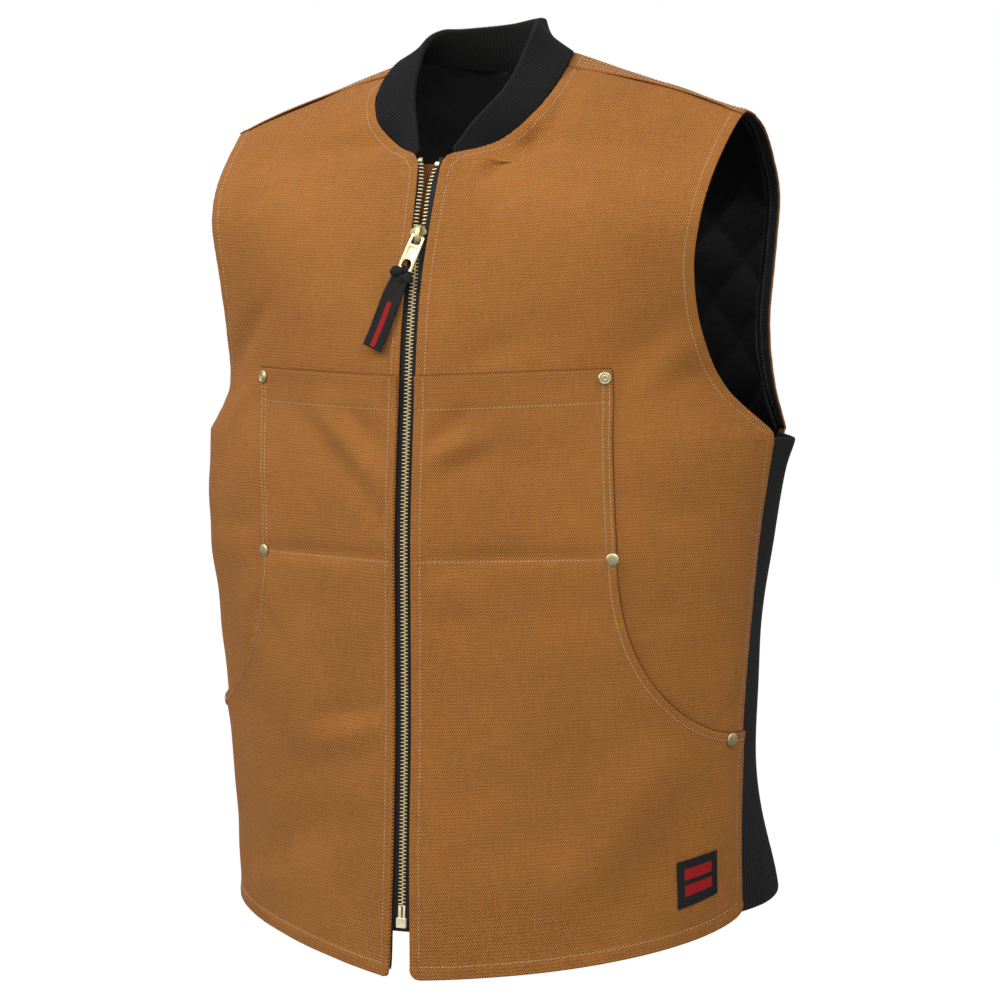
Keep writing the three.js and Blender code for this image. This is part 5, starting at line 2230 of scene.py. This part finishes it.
@dataclass
class Zip:
    """The brass zip: its tapes, teeth, stops, foot, slider and the flap behind it."""

    front: CanvasFront
    depth: float = 2.0
    bottom: float = 47.6
    top: float = 645.0
    slider_height: float = 587.0
    path_heights: tuple[float, ...] = (580, 585, 592, 600, 610, 620, 630, 640, 645, 650)
    left_path: tuple[float, ...] = (0.2, 0.5, 2.5, 3.2, 2.8, 2.3, 2.4, 3.8, 5.0, 6.2)
    right_path: tuple[float, ...] = (0.2, 0.4, 1.5, 2.2, 2.4, 2.9, 4.2, 6.2, 7.8, 9.0)
    left_short: float = 4.0
    pitch: float = 2.9
    tooth_width: float = 3.1
    tooth_bite: float = 0.85
    tooth_high: float = 1.05
    tooth_thick: float = 2.7
    tape_width: float = 14.0
    pins: float = 9.0
    pin_radius: float = 1.35
    pin_apart: float = 2.1
    stop_size: Triple = (4.2, 4.2, 3.4)
    stop_lean: float = -7.0
    stop_rise: float = 2.6
    foot_size: Triple = (8.8, 8.0, 4.4)
    tape_places: tuple[float, ...] = (-1.2, 0.0, 0.9, 1.8, 3.6)
    tape_bead: tuple[float, ...] = (0.75, 0.75, 0.15, 0.0, 0.0, 0.0)
    flap_places: tuple[float, ...] = (-24, -23, -20, -12, -6, 0, 6, 12, 18, 23, 26, 27)
    flap_lift: tuple[float, float] = (-6.9, -8.1)

    def __post_init__(self) -> None:
        """Read the centre edge's line."""
        loft = self.front.loft
        tries = np.linspace(0, loft.marks["neck_corner"] + 20, 1500)
        self.edge = spline(loft.knots, loft.table, loft.corners, tries)

    def point(self, x: Array, height: Array) -> Array:
        """Places on the zip's own surface, flat across the gap and falling back beyond it.

        Args:
            x: Millimetres to the wearer's left.
            height: Millimetres above the hem.

        Returns:
            The places in metres.
        """
        x, height = np.broadcast_arrays(np.asarray(x, float), np.asarray(height, float))
        column = [np.interp(height, self.edge[:, 2], self.edge[:, k]) for k in (0, 1, 6)]
        y = column[1] + np.maximum(0, np.abs(x) - column[0]) * np.tan(np.radians(column[2]))
        return np.stack([x, y, height - NECK_HEIGHT], axis=-1) * MM

    def matrix(self, x: float, height: float, lift: float) -> Matrix:
        """From a bench with x to the wearer's left, y up the zip and z outwards, to the vest.

        Args:
            x: Millimetres to the wearer's left.
            height: Millimetres above the hem.
            lift: Millimetres outwards.

        Returns:
            The matrix.
        """
        up = unit(self.point(x, height + 4) - self.point(x, height - 4))
        across = np.array([1.0, 0.0, 0.0])
        out = np.cross(across, up)
        return standing(across, up, out, self.point(x, height) + out * lift * MM)

    def top_of(self, side: Side) -> float:
        """The height of one row's last tooth."""
        return self.top - (self.left_short if side is Side.LEFT else 0.0)

    def spread(self, height: Array, side: Side) -> Array:
        """One row's distance from the middle, in millimetres.

        Args:
            height: Millimetres above the hem.
            side: The row's side.

        Returns:
            The distances.
        """
        knots = np.array(self.path_heights, float)
        path = np.array(self.left_path if side is Side.LEFT else self.right_path)
        return spline(knots, path[:, None], [-1], np.clip(height, knots[0], knots[-1]))[..., 0]

    def strip(self, columns: Callable[[Array], Sequence[Array]], heights: Array) -> Net:
        """A net over the zip's surface, with columns given for all heights.

        Args:
            columns: Gives the places across for heights.
            heights: Millimetres above the hem.

        Returns:
            The net.
        """
        x = np.stack([np.broadcast_to(c, heights.shape) for c in columns(heights)], axis=-1)
        high = np.repeat(heights[:, None], x.shape[1], axis=1)
        points = self.point(x, high)
        sign = np.where(x < 0, -1.0, 1.0)
        across = (self.point(x + 0.5 * sign, high) - points) * sign[..., None]
        normals = unit(np.cross(across, self.point(x, high + 2) - self.point(x, high - 2)))
        flat = np.stack([x, high], axis=-1) * MM
        lengths = [x.shape[1]] * len(heights)
        return Net.from_rows(points.reshape(-1, 3), normals.reshape(-1, 3), flat.reshape(-1, 2), lengths)

    def tooth(self) -> Piece:
        """One tooth on the bench, its head at the origin and its root along +x.

        Returns:
            The tooth.
        """
        length = self.tooth_width + self.tooth_bite
        tooth = Bench.box((length, self.tooth_high, self.tooth_thick), (length / 2 - self.tooth_bite, 0, 0))
        Bench.pick(tooth, lambda centre, normal: normal.x < -0.9)
        bpy.ops.transform.resize(value=(1, 0.8, 0.72), center_override=(0, 0, 0))
        Bench.clear()
        Bench.change(tooth, "BEVEL", width=0.28 * MM, segments=1, limit_method="ANGLE")
        return tooth

    def build(self) -> None:
        """Make every part of the zip but its slider."""
        heights = np.concatenate([np.linspace(self.bottom - 8, 580, 90), np.linspace(583, self.top + 4, 26)])
        tooth = self.tooth()
        corners = np.array([corner.co for corner in tooth.data.vertices])
        rings = [tuple(face.vertices) for face in tooth.data.polygons]
        for side in Side:
            sign = side.value

            def tape_columns(h: Array) -> list[Array]:
                """Places across one tape, from under the teeth outwards."""
                root = self.spread(h, side) + self.tooth_width
                return [sign * (root + d) for d in (*self.tape_places, self.tape_width)]

            net = self.strip(tape_columns, heights)
            bead = np.tile(self.tape_bead, len(heights))
            outer, inner = -self.depth + 0.4 + bead, -self.depth - 0.4 - bead
            tape = wall(f"webbing_tape_{side.word}", net, outer, inner, 3)
            fit(tape, TAPE, [f"zip_tape_{side.word}"])
            first = self.bottom + self.pins + (self.pitch / 2 if sign < 0 else 0)
            rows = np.arange(first, self.top_of(side), self.pitch)
            places, faces = [], []
            for i, h in enumerate(rows):
                matrix = np.array(self.matrix(0.0, float(h), -self.depth))
                local = corners * [sign, 1, 1] + [sign * float(self.spread(h, side)) * MM, 0, 0]
                places.append(local @ matrix[:3, :3].T + matrix[:3, 3])
                faces += [tuple(k + i * len(corners) for k in ring[::sign]) for ring in rings]
            teeth = make_object(f"brass_teeth_{side.word}", np.vstack(places), faces, None)
            teeth.data.polygons.foreach_set("use_smooth", np.zeros(len(teeth.data.polygons), bool))
            # The teeth get the brighter brass: painted light in the zip's recess.
            fit(teeth, PAINTED_LIGHT_TOOTH_BRASS, [f"zip_teeth_{side.word}"])
            self.stop(side)
        bpy.data.objects.remove(tooth)
        self.foot()
        self.flap()

    def stop(self, side: Side) -> None:
        """Make one top stop, clamped over the tape's bead.

        Args:
            side: The stop's side.
        """
        block = Bench.box(self.stop_size, (0, 0, 0))
        Bench.pick(block, lambda centre, normal: normal.z > 0.9)
        Bench.inset(0.8, 0.35)
        Bench.round_off(block, 0.7, 3)
        lean = Matrix.Rotation(math.radians(self.stop_lean * side.value), 4, "Z")
        height = self.top_of(side) + self.stop_rise
        aside = float(self.spread(height, side)) + 1.5
        shift = Matrix.Translation((aside * side.value * MM, 0, 0))
        place = self.matrix(0.0, height, -self.depth) @ shift @ lean
        made = Bench.gather(f"brass_stop_{side.word}", [block], place)
        fit(made, BRASS, [f"zip_stop_{side.word}"])

    def foot(self) -> None:
        """Make the box at the zip's foot and the two pins that stand in it."""
        block = Bench.box(self.foot_size, (0, 0, 0))
        Bench.pick(block, lambda centre, normal: normal.z > 0.9)
        Bench.inset(1.1, -0.35)
        Bench.round_off(block, 0.6, 3)
        parts = [block]
        for x in (-self.pin_apart, self.pin_apart):
            pin = Bench.disc(self.pin_radius, self.pins + 3.5, (0, 0, 0), 16)
            Bench.round_off(pin, 0.5, 2)
            pin.data.transform(Matrix.Rotation(math.radians(90), 4, "X"))
            pin.data.transform(Matrix.Translation((x * MM, (4 + self.pins / 2 - 1) * MM, 0)))
            parts.append(pin)
        made = Bench.gather("brass_foot", parts, self.matrix(0.0, self.bottom - 4.6, -self.depth + 0.4))
        fit(made, FOOT_BRASS, ["zip_box"])

    def flap(self) -> None:
        """Make the canvas flap behind the zip."""
        heights = np.linspace(self.bottom - 11.6, self.top + 1, 110)
        net = self.strip(lambda h: [np.full(h.shape, x) for x in self.flap_places], heights)
        flap = wall("canvas_flap", net, *self.flap_lift)
        # The flap is the darker canvas: painted shade deep in the zip's recess.
        fit(flap, SHADED_CANVAS, ["storm_flap"])


@dataclass
class Slider:
    """The zip's slider, its pull tab and the knotted ribbon on the tab."""

    zip: Zip
    twist: float = -19.0
    tab_lift: float = 3.45
    tab_length: float = 29.25
    tab_bar: float = -2.0
    tab_thick: float = 1.3
    tab_width: float = 13.2
    tab_side: float = 3.2
    ribbon_length: float = 61.0
    ribbon_width: float = 17.2
    ribbon_lean: float = 6.5
    ribbon_turn: float = -3.5
    loop_cut: float = 3.0
    ribbon_rows: int = 40
    ribbon_columns: int = 13
    loop_rings: int = 32
    loop_round: int = 12
    plate_radius: float = 7.8
    plate_thick: float = 1.3
    plate_aside: float = 0.7
    plate_heights: tuple[float, float] = (1.65, -2.5)
    post_size: Triple = (1.6, 2.6, 4.2)
    post_at: Triple = (0, 5.7, -0.4)
    lip_size: Triple = (1.0, 8.0, 1.4)
    lip_apart: float = 5.0
    crown_width: float = 4.0
    crown_thick: float = 1.5
    crown_radius: float = 5.6
    crown_shape: Triple = (1, 1.14, 0.68)
    crown_at: Triple = (2.1, 0.2, 2.15)
    lobes: tuple[tuple[float, ...], ...] = (
        (-5.8, -5.2, 1.8, 5.8, 4.4, 2.6, 20, 3),
        (6.2, -7.4, 1.8, 5.0, 4.1, 2.5, -16, 3),
        (0.2, -7.8, 0.9, 3.2, 2.4, 1.4, -30, 4),
        (0.2, -11.0, 0.7, 7.4, 2.6, 1.1, 2, 5),
    )

    def build(self) -> None:
        """Make the slider, the tab and the ribbon."""
        base = self.zip.matrix(0.0, self.zip.slider_height, -self.zip.depth)
        self.body(base)
        turn = Matrix.Rotation(math.radians(self.twist), 4, "Z")
        hung = base @ Matrix.Translation((self.tab_side * MM, 0, self.tab_lift * MM)) @ turn
        self.tab(hung)
        self.ribbon(hung)

    def body(self, base: Matrix) -> None:
        """Make the slider's two plates, its post, its lips and its crown.

        Args:
            base: From the bench to the zip.
        """
        parts = []
        for z in self.plate_heights:
            plate = Bench.disc(self.plate_radius, self.plate_thick, (0, 0, 0), 36)
            Bench.widen(plate, lambda at: at.y < -0.5, (0.66, 0.95, 1))
            Bench.widen(plate, lambda at: at.y > 4.6, (0.98, 0.94, 1))
            plate.data.transform(Matrix.Translation((self.plate_aside * MM, 0, z * MM)))
            Bench.pick(plate, lambda centre, normal: normal.z * z > 0.9)
            Bench.inset(1.1, 0.45 if z > 0 else -0.45)
            Bench.round_off(plate, 0.35, 3)
            parts.append(plate)
        post = Bench.box(self.post_size, self.post_at)
        Bench.round_off(post, 0.3)
        parts.append(post)
        for x in (-self.lip_apart, self.lip_apart):
            lip = Bench.box(self.lip_size, (x, -1.6, 0.6))
            Bench.round_off(lip, 0.35)
            parts.append(lip)
        made = Bench.gather("brass_slider", parts, base)
        # The slider's plates get the darker brass: painted shade.
        fit(made, SHADED_SLIDER_BRASS, ["zip_slider"])
        arch = Bench.gather("brass_crown", [self.crown()], base)
        # The crown gets the lighter brass: painted highlight.
        fit(arch, HIGHLIGHT_CROWN_BRASS)

    def crown(self) -> Piece:
        """The arched strap over the slider's plate.

        Returns:
            The strap.
        """
        Bench.clear()
        bpy.ops.mesh.primitive_plane_add(size=1, location=(0, 0, 0))
        strap = bpy.context.object
        strap.data.transform(Matrix.Diagonal((self.crown_width * MM, self.crown_thick * MM, 1, 1)))
        strap.data.transform(Matrix.Translation((0, self.crown_radius * MM, 0)))
        Bench.take(strap)
        bpy.ops.object.mode_set(mode="EDIT")
        bpy.ops.mesh.select_all(action="SELECT")
        bpy.ops.mesh.spin(steps=14, angle=math.pi, center=(0, 0, 0), axis=(1, 0, 0))
        bpy.ops.mesh.select_all(action="SELECT")
        bpy.ops.mesh.remove_doubles(threshold=1e-6)
        bpy.ops.mesh.normals_make_consistent(inside=False)
        Bench.clear()
        low = min(corner.co.z for corner in strap.data.vertices)
        if low < -0.001:
            strap.data.transform(Matrix.Rotation(math.pi, 4, "X"))
        strap.data.transform(Matrix.Diagonal((*self.crown_shape, 1)))
        strap.data.transform(Matrix.Translation([c * MM for c in self.crown_at]))
        Bench.round_off(strap, 0.4, 3)
        return strap

    def tab(self, hung: Matrix) -> None:
        """Make the pull tab: a tapered plate with two windows and a sunk oval.

        Args:
            hung: From the bench to the hanging tab.
        """
        foot = self.tab_bar - self.tab_length
        middle = (self.tab_bar + foot) / 2
        tab = Bench.box((self.tab_width, self.tab_length, self.tab_thick), (0, middle, 0))
        Bench.widen(tab, lambda at: at.y > middle, (0.93, 1, 1))
        Bench.widen(tab, lambda at: at.y < middle, (1.06, 1, 1))
        slot = Bench.box((8.4, 6.4, 4), (0, self.tab_bar - 1.5 - 3.2, 0))
        Bench.round_off(slot, 1.6, 3, 80)
        Bench.cut(tab, slot)
        window = Bench.disc(4.4, 4, (0, 0, 0), 32)
        window.data.transform(Matrix.Translation((0, (foot + 4.6) * MM, 0)))
        Bench.cut(tab, window)
        square = Bench.box((8.8, 2.8, 4), (0, foot + 3.4, 0))
        Bench.cut(tab, square)
        panel = Bench.box((8.6, 10.0, 1), (0, middle - 0.2, self.tab_thick / 2 + 0.22))
        Bench.round_off(panel, 3.2, 4, 80)
        Bench.cut(tab, panel)
        Bench.round_off(tab, 0.28, 2)
        made = Bench.gather("brass_tab", [tab], hung)
        fit(made, BRASS, ["pull_tab"], Body.PULL_TAB)

    def ribbon(self, hung: Matrix) -> None:
        """Make the ribbon: a loop round the tab's foot, a gathered knot and a doubled strap.

        Args:
            hung: From the bench to the hanging tab.
        """
        foot = self.tab_bar - self.tab_length + 2
        matrix = np.array(hung)

        def put(points: Array) -> Array:
            """Bench places in millimetres, on the vest."""
            return (points * MM) @ matrix[:3, :3].T + matrix[:3, 3]

        along = np.linspace(0, 1, self.ribbon_rows)
        across = np.linspace(-1, 1, self.ribbon_columns)
        u, t = np.meshgrid(across, along)
        gathered = bell(t * self.ribbon_length / 9)
        half = self.ribbon_width / 2 * (1 - 0.1 * gathered)
        lean = math.radians(self.ribbon_lean)
        length = t * self.ribbon_length
        crimp = 0.9 * gathered * np.cos(u * 2.5 * math.pi) + 0.5 * (1 - gathered) * (u**2) * np.sin(t * 5)
        aside = math.radians(self.ribbon_turn)
        fall = length * math.cos(lean)
        x = u * half * math.cos(aside) + fall * math.sin(aside)
        y = foot - 8 - fall * math.cos(aside) + u * half * math.sin(aside)
        z = 1.4 - length * math.sin(lean) + crimp + 0.5 * np.sin(t * 6.0)
        points = put(np.stack([x, y, z], axis=-1).reshape(-1, 3))
        out = np.broadcast_to(matrix[:3, 2], points.shape)
        flat = np.stack([u * self.ribbon_width / 2, length], axis=-1).reshape(-1, 2) * MM
        net = Net.from_rows(points, unit(out), flat, [self.ribbon_columns] * self.ribbon_rows)
        strap = wall("ribbon_strap", net, 0.45, -0.45, 3)
        fit(strap, RIBBON_CLOTH, ["ribbon_tag"], Body.PULL_TAB)
        self.knot(put, foot)

    def knot(self, put: Callable[[Array], Array], foot: float) -> None:
        """Make the knot of gathered lobes, and the loop round the tab's foot as two rings.

        Args:
            put: Puts bench places on the vest.
            foot: The height of the window's foot on the bench.
        """
        lobes, faces, flats = [], [], []
        turns = np.linspace(0, 2 * math.pi, 25)[:-1]
        tilts = np.linspace(0.06, math.pi - 0.06, 13)
        for x_at, y_at, z_at, wide, high, deep, lean, pleats in self.lobes:
            a, b = np.meshgrid(turns, tilts)
            pleat = 1 + 0.1 * np.cos(pleats * a + 2 * np.cos(b)) * np.sin(b)
            pleat = pleat + 0.05 * np.cos(2 * pleats * b + a)
            x = np.cos(a) * np.sin(b) * wide * pleat
            y = np.cos(b) * high * pleat
            z = np.sin(a) * np.sin(b) * deep * pleat
            turn = math.radians(lean)
            places = np.stack(
                [
                    x_at + x * math.cos(turn) - y * math.sin(turn),
                    foot + y_at + x * math.sin(turn) + y * math.cos(turn),
                    z_at + z,
                ],
                axis=-1,
            )
            count = sum(len(lobe) for lobe in lobes)
            lobes.append(places.reshape(-1, 3))
            flats.append(np.stack([a * wide, b * high], axis=-1).reshape(-1, 2) * MM)
            faces += self.ball(count, len(tilts), len(turns))
        piece = make_object("ribbon_knot", put(np.vstack(lobes)), faces, np.vstack(flats))
        fit(piece, RIBBON_CLOTH_PLAIN, (), Body.PULL_TAB)
        for name, x_at in (("ribbon_loop_left", 1.7), ("ribbon_loop_right", -1.7)):
            a = np.linspace(0, 2 * math.pi, self.loop_rings + 1)[:-1]
            b = np.linspace(0, 2 * math.pi, self.loop_round + 1)[:-1]
            a, b = np.meshgrid(a, b, indexing="ij")
            y = foot - 1.9 + np.sin(a) * (3.4 + 0.5 * np.cos(b))
            z = 0.15 + np.cos(a) * (1.35 + 0.5 * np.cos(b))
            x = x_at + np.sin(b) * 1.6 + 0.25 * np.sin(3 * a)
            ring = put(np.stack([x, y, z], axis=-1).reshape(-1, 3))
            flat = np.stack([a, b], axis=-1).reshape(-1, 2) * self.loop_cut * MM
            piece = make_object(name, ring, self.tube(self.loop_rings, self.loop_round), flat)
            fit(piece, RIBBON_CLOTH_PLAIN, (), Body.PULL_TAB)

    @staticmethod
    def ball(first: int, rings: int, around: int) -> list[tuple[int, ...]]:
        """Faces of a closed lobe made of rings, whose corners start at an index.

        Args:
            first: The index.
            rings: How many rings.
            around: Corners in each ring.

        Returns:
            The faces.
        """
        faces = [tuple(first + j for j in range(around))]
        for i in range(rings - 1):
            for j in range(around):
                n = (j + 1) % around
                low, high = first + i * around, first + (i + 1) * around
                faces.append((low + n, low + j, high + j, high + n))
        faces.append(tuple(first + (rings - 1) * around + j for j in reversed(range(around))))
        return faces

    @staticmethod
    def tube(long: int, round_steps: int) -> list[tuple[int, ...]]:
        """Faces of a closed ring of rings.

        Args:
            long: Rings.
            round_steps: Corners in each ring.

        Returns:
            The faces.
        """
        faces = []
        for i in range(long):
            for j in range(round_steps):
                k, n = (i + 1) % long, (j + 1) % round_steps
                low, high = i * round_steps, k * round_steps
                faces.append((low + j, high + j, high + n, low + n))
        return faces


@dataclass
class Trim:
    """The rivets at the pockets' corners and the woven label above the hem."""

    front: dict[Side, CanvasFront]
    side_at: Triple = (229.5, -22, 4.5)
    chest_in: tuple[float, float] = (4.7, 7.2)
    middle_in: tuple[float, float] = (2.0, 13.0)
    radius: float = 5.3
    label_size: tuple[float, float] = (33.5, 35.0)
    label_tilt: float = 0.13
    label_lift: tuple[float, float] = (0.9, 0.1)
    label_at: Triple = (213, -41, 79)

    def build(self) -> None:
        """Make the rivets and the label."""
        ringed, flat = self.rivet(True), self.rivet(False)
        for side, front in self.front.items():
            rows = np.array([front.top_row - self.chest_in[1], front.mouth_row - self.middle_in[1]])
            insets = (self.chest_in[0], self.middle_in[0])
            shares = [front.edge_share(rows[i : i + 1], inset)[0] for i, inset in enumerate(insets)]
            x, y, drop = self.side_at
            low = front.loft.locate(x, y, front.opening_foot - drop)
            places = [*zip(("chest", "middle"), shares, rows), ("side", *low)]
            for word, s, v in places:
                model = ringed if word == "chest" else flat
                points, normals = front.on_layer(np.array([s]), np.array([v]))
                made = Bench.copy(model, f"brass_rivet_{word}_{side.word}", self.stand(points[0], normals[0]))
                fit(made, OLD_BRASS, [f"rivet_{word}_{side.word}"])
        for model in (ringed, flat):
            bpy.data.objects.remove(model)
        self.label()

    @staticmethod
    def stand(place: Array, out: Array) -> Matrix:
        """From a bench with y up and z outwards to a place on the cloth."""
        up = unit(np.array([0.0, 0.0, 1.0]) - out * out[2])
        return standing(np.cross(up, out), up, out, place)

    def rivet(self, ringed: bool) -> Piece:
        """One rivet cap on the bench: a low dome with a rim.

        Args:
            ringed: Whether it has a sunk ring and a boss.

        Returns:
            The cap.
        """
        cap = Bench.disc(self.radius, 0.9, (0, 0, 0.35), 40)
        Bench.pick(cap, lambda centre, normal: normal.z > 0.9)
        dome = ((0.7, 0.55), (0.9, 0.3), (1.6, 0.15))
        rings = ((0.7, 0.55), (0.7, 0.3), (0.5, -0.5), (0.45, 0.0), (0.35, 0.32), (1.2, 0.12), (0.4, -0.22))
        for width, rise in rings if ringed else dome:
            Bench.inset(width, rise)
        Bench.clear()
        Bench.round_off(cap, 0.16, 2, 20)
        return cap

    def label(self) -> None:
        """Make the woven label with its folded edge and a sunk line where it is stitched."""
        front = self.front[Side.LEFT]
        s, v = front.loft.locate(*self.label_at)
        middle = front.loft.point(s, v)
        wide = float(np.linalg.norm(front.loft.point(s + 0.01, v) - middle) / 0.01 / MM)
        high = float(np.linalg.norm(front.loft.point(s, v + 5) - middle) / 5 / MM)
        half_wide, half = self.label_size[0] / 2, self.label_size[1] / 2
        close = np.array((0.8, 0.86, 0.92, 0.97, 1.0))
        steps = np.concatenate([-close[::-1], np.linspace(-0.7, 0.7, 13), close])
        u, w = np.meshgrid(steps * half_wide, steps * half)
        up = v + (w + self.label_tilt * u) / high
        points, normals = front.on_layer((s + u / wide).ravel(), up.ravel())
        edge = np.maximum(np.abs(u) + half - half_wide, np.abs(w)).ravel()
        folded = 0.35 * ease(half - 4.2, half - 3.2, edge)
        lift = 0.15 + folded - 0.3 * bell((edge - half + 2.2) / 0.6)
        flat = np.stack([u, w + half], axis=-1).reshape(-1, 2) * MM
        net = Net.from_rows(points + normals * lift[:, None] * MM, normals, flat, [len(steps)] * len(steps))
        label = wall("woven_label", net, *self.label_lift)
        fit(label, LABEL_CLOTH, ["hem_label"])


@dataclass
class Studio:
    """The pale floor, the soft light and the camera."""

    floor_drop: float = 0.34
    camera_at: Triple = (1.3746, -2.6666, -0.2254)
    azimuth: float = 27.0
    pitch: float = 2.43
    lens: float = 131.7
    sky: float = 0.08
    gleam: float = 0.9
    floor_tone: float = 0.5
    floor_size: float = 14.0
    floor_back: float = 2.5
    sensor: float = 36.0
    aim: Triple = (0, 0, -0.35)
    lamps: tuple[tuple[str, Triple, float, float], ...] = (
        ("key", (-1.5, -1.5, 1.25), 1.4, 42.5),
        ("fill", (2.1, -1.45, 1.75), 1.4, 44.0),
        ("front", (0.5, -2.0, 1.35), 1.2, 14.0),
        ("low", (2.0, -1.2, 0.1), 1.4, 3.5),
        ("back", (0.4, 2.3, 1.0), 1.6, 12.0),
    )

    def build(self) -> None:
        """Make the stage."""
        self.floor()
        self.light()
        self.camera()

    def floor(self) -> None:
        """Make the floor under the hem."""
        Bench.clear()
        place = (0, self.floor_back, -NECK_HEIGHT * MM - self.floor_drop)
        bpy.ops.mesh.primitive_plane_add(size=self.floor_size, location=place)
        floor = bpy.context.object
        floor.name = "floor"
        paper = bpy.data.materials.new("floor_paper")
        paper.use_nodes = True
        tree = Tree(paper.node_tree)
        shader = paper.node_tree.nodes["Principled BSDF"]
        shader.inputs["Base Color"].default_value = (*[self.floor_tone] * 3, 1)
        shader.inputs["Roughness"].default_value = 0.9
        glow = tree.node("ShaderNodeEmission", (1, 1, 1, 1), 1.1)
        seen = tree.node("ShaderNodeLightPath").outputs["Is Camera Ray"]
        share = tree.math("MULTIPLY", seen, 0.92)
        mixed = tree.node("ShaderNodeMixShader", share, shader.outputs[0], glow.outputs[0])
        tree.feed(paper.node_tree.nodes["Material Output"].inputs[0], mixed.outputs[0])
        floor.data.materials.append(paper)

    def light(self) -> None:
        """Make a white room and its soft lamps."""
        bpy.context.scene.view_settings.view_transform = "Standard"
        world = bpy.data.worlds.new("studio")
        bpy.context.scene.world = world
        world.use_nodes = True
        tree = Tree(world.node_tree)
        world.node_tree.nodes.clear()
        rays = tree.node("ShaderNodeLightPath")
        glossy = tree.spread(rays.outputs["Is Glossy Ray"], self.sky, self.gleam)
        strength = tree.math("MAXIMUM", rays.outputs["Is Camera Ray"], glossy)
        sky = tree.node("ShaderNodeBackground", (1, 1, 1, 1), strength)
        tree.node("ShaderNodeOutputWorld", sky.outputs[0])
        for name, at, size, power in self.lamps:
            lamp = bpy.data.lights.new(name, "AREA")
            lamp.size = size
            lamp.energy = power
            holder = bpy.data.objects.new(name, lamp)
            holder.location = at
            aim = Vector(self.aim) - Vector(at)
            holder.rotation_euler = aim.to_track_quat("-Z", "Y").to_euler()
            bpy.context.scene.collection.objects.link(holder)

    def camera(self) -> None:
        """Make the camera at the photograph's viewing angle."""
        data = bpy.data.cameras.new("camera")
        data.sensor_width = self.sensor
        data.lens = self.lens
        camera = bpy.data.objects.new("camera", data)
        camera.location = self.camera_at
        camera.rotation_euler = (math.radians(90 - self.pitch), 0, math.radians(self.azimuth))
        bpy.context.scene.collection.objects.link(camera)
        bpy.context.scene.camera = camera


LEFT_FOLDS = (
    Fold(236, 222, 227, 198, 4.5, -1.8),
    Fold(51.0, 634.8, 57.4, 652.5, 7.0, -6.4),
    Fold(66.9, 647.5, 74.9, 665.6, 7.0, -6.8),
    Fold(90.5, 664.4, 91.9, 691.5, 9.1, -4.6),
    Fold(167.1, 484.9, 194.0, 515.8, 14.3, -4.5),
    Fold(175.1, 462.8, 208.3, 499.8, 13.0, 2.8),
    Fold(195.7, 469.3, 212.8, 479.3, 11.7, -3.5),
    Fold(224.3, 443.6, 253.3, 419.8, 18.2, -4.5),
    Fold(51.1, 487.0, 82.9, 501.8, 10.4, -2.3),
    Fold(22.0, 419.5, 45.5, 445.5, 9.1, -3.0),
    Fold(21.9, 408.6, 59.2, 426.9, 10.4, 3.3),
    Fold(34.3, 401.0, 65.4, 412.5, 9.1, -2.4),
    Fold(13.1, 331.4, 155.8, 335.0, 6.5, -2.6),
    Fold(23.3, 320.1, 62.1, 323.1, 7.8, -2.1),
    Fold(27.7, 283.0, 52.3, 283.8, 11.7, -2.8),
    Fold(201.1, 364.8, 217.8, 370.2, 11.7, -2.4),
    Fold(193.9, 161.8, 134.2, 68.1, 24.0, 5.4),
    Fold(221.1, 158.5, 164.5, 63.4, 22.0, -5.8),
    Fold(189.0, 278.7, 203.1, 297.0, 11.7, -2.4),
)
RIGHT_FOLDS = (
    Fold(-200.9, 487.0, -155.3, 532.2, 11.7, -4.2),
    Fold(-200.0, 440.4, -172.0, 466.9, 10.4, 3.1),
    Fold(-107.1, 442.0, -22.0, 366.2, 11.7, -3.3),
    Fold(-90.9, 445.8, -19.2, 387.8, 10.4, 2.4),
    Fold(-53.9, 445.0, -22.2, 414.5, 9.1, -2.8),
    Fold(-147.1, 333.4, -16.2, 331.8, 6.5, -2.6),
    Fold(-201.0, 352.6, -167.3, 351.4, 10.4, -2.8),
    Fold(-154.0, 284.6, -122.3, 246.7, 11.7, -2.4),
    Fold(-82.5, 201.2, -24.8, 210.9, 11.7, -3.0),
    Fold(-89.4, 179.7, -23.0, 197.4, 13.0, 2.6),
    Fold(-174.6, 73.3, -66.2, 121.6, 20.0, -2.9),
    Fold(-186.0, 288.8, -181.4, 220.9, 7.8, 2.4),
)


def main() -> None:
    """Build the vest and its stage."""
    logging.basicConfig(level=logging.INFO, format="%(message)s")
    Studio().build()
    left = CanvasFront(Side.LEFT, LEFT_FOLDS, changes=LEFT_FRONT)
    right = CanvasFront(
        Side.RIGHT,
        RIGHT_FOLDS,
        edge_top=162.0,
        edge_mouth=152.0,
        changes=RIGHT_FRONT,
        centre_round=4.0,
        side_round=16.0,
        opening_foot=205.0,
    )
    fronts = {Side.LEFT: left, Side.RIGHT: right}
    for front in fronts.values():
        front.build()
    back = CanvasBack()
    back.build()
    for side in Side:
        SideRib(side).build()
    Collar().build()
    Lining(fronts, back).build()
    chain = Zip(fronts[Side.LEFT])
    chain.build()
    Slider(chain).build()
    Trim(fronts).build()
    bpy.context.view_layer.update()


if __name__ == "__main__":
    main()
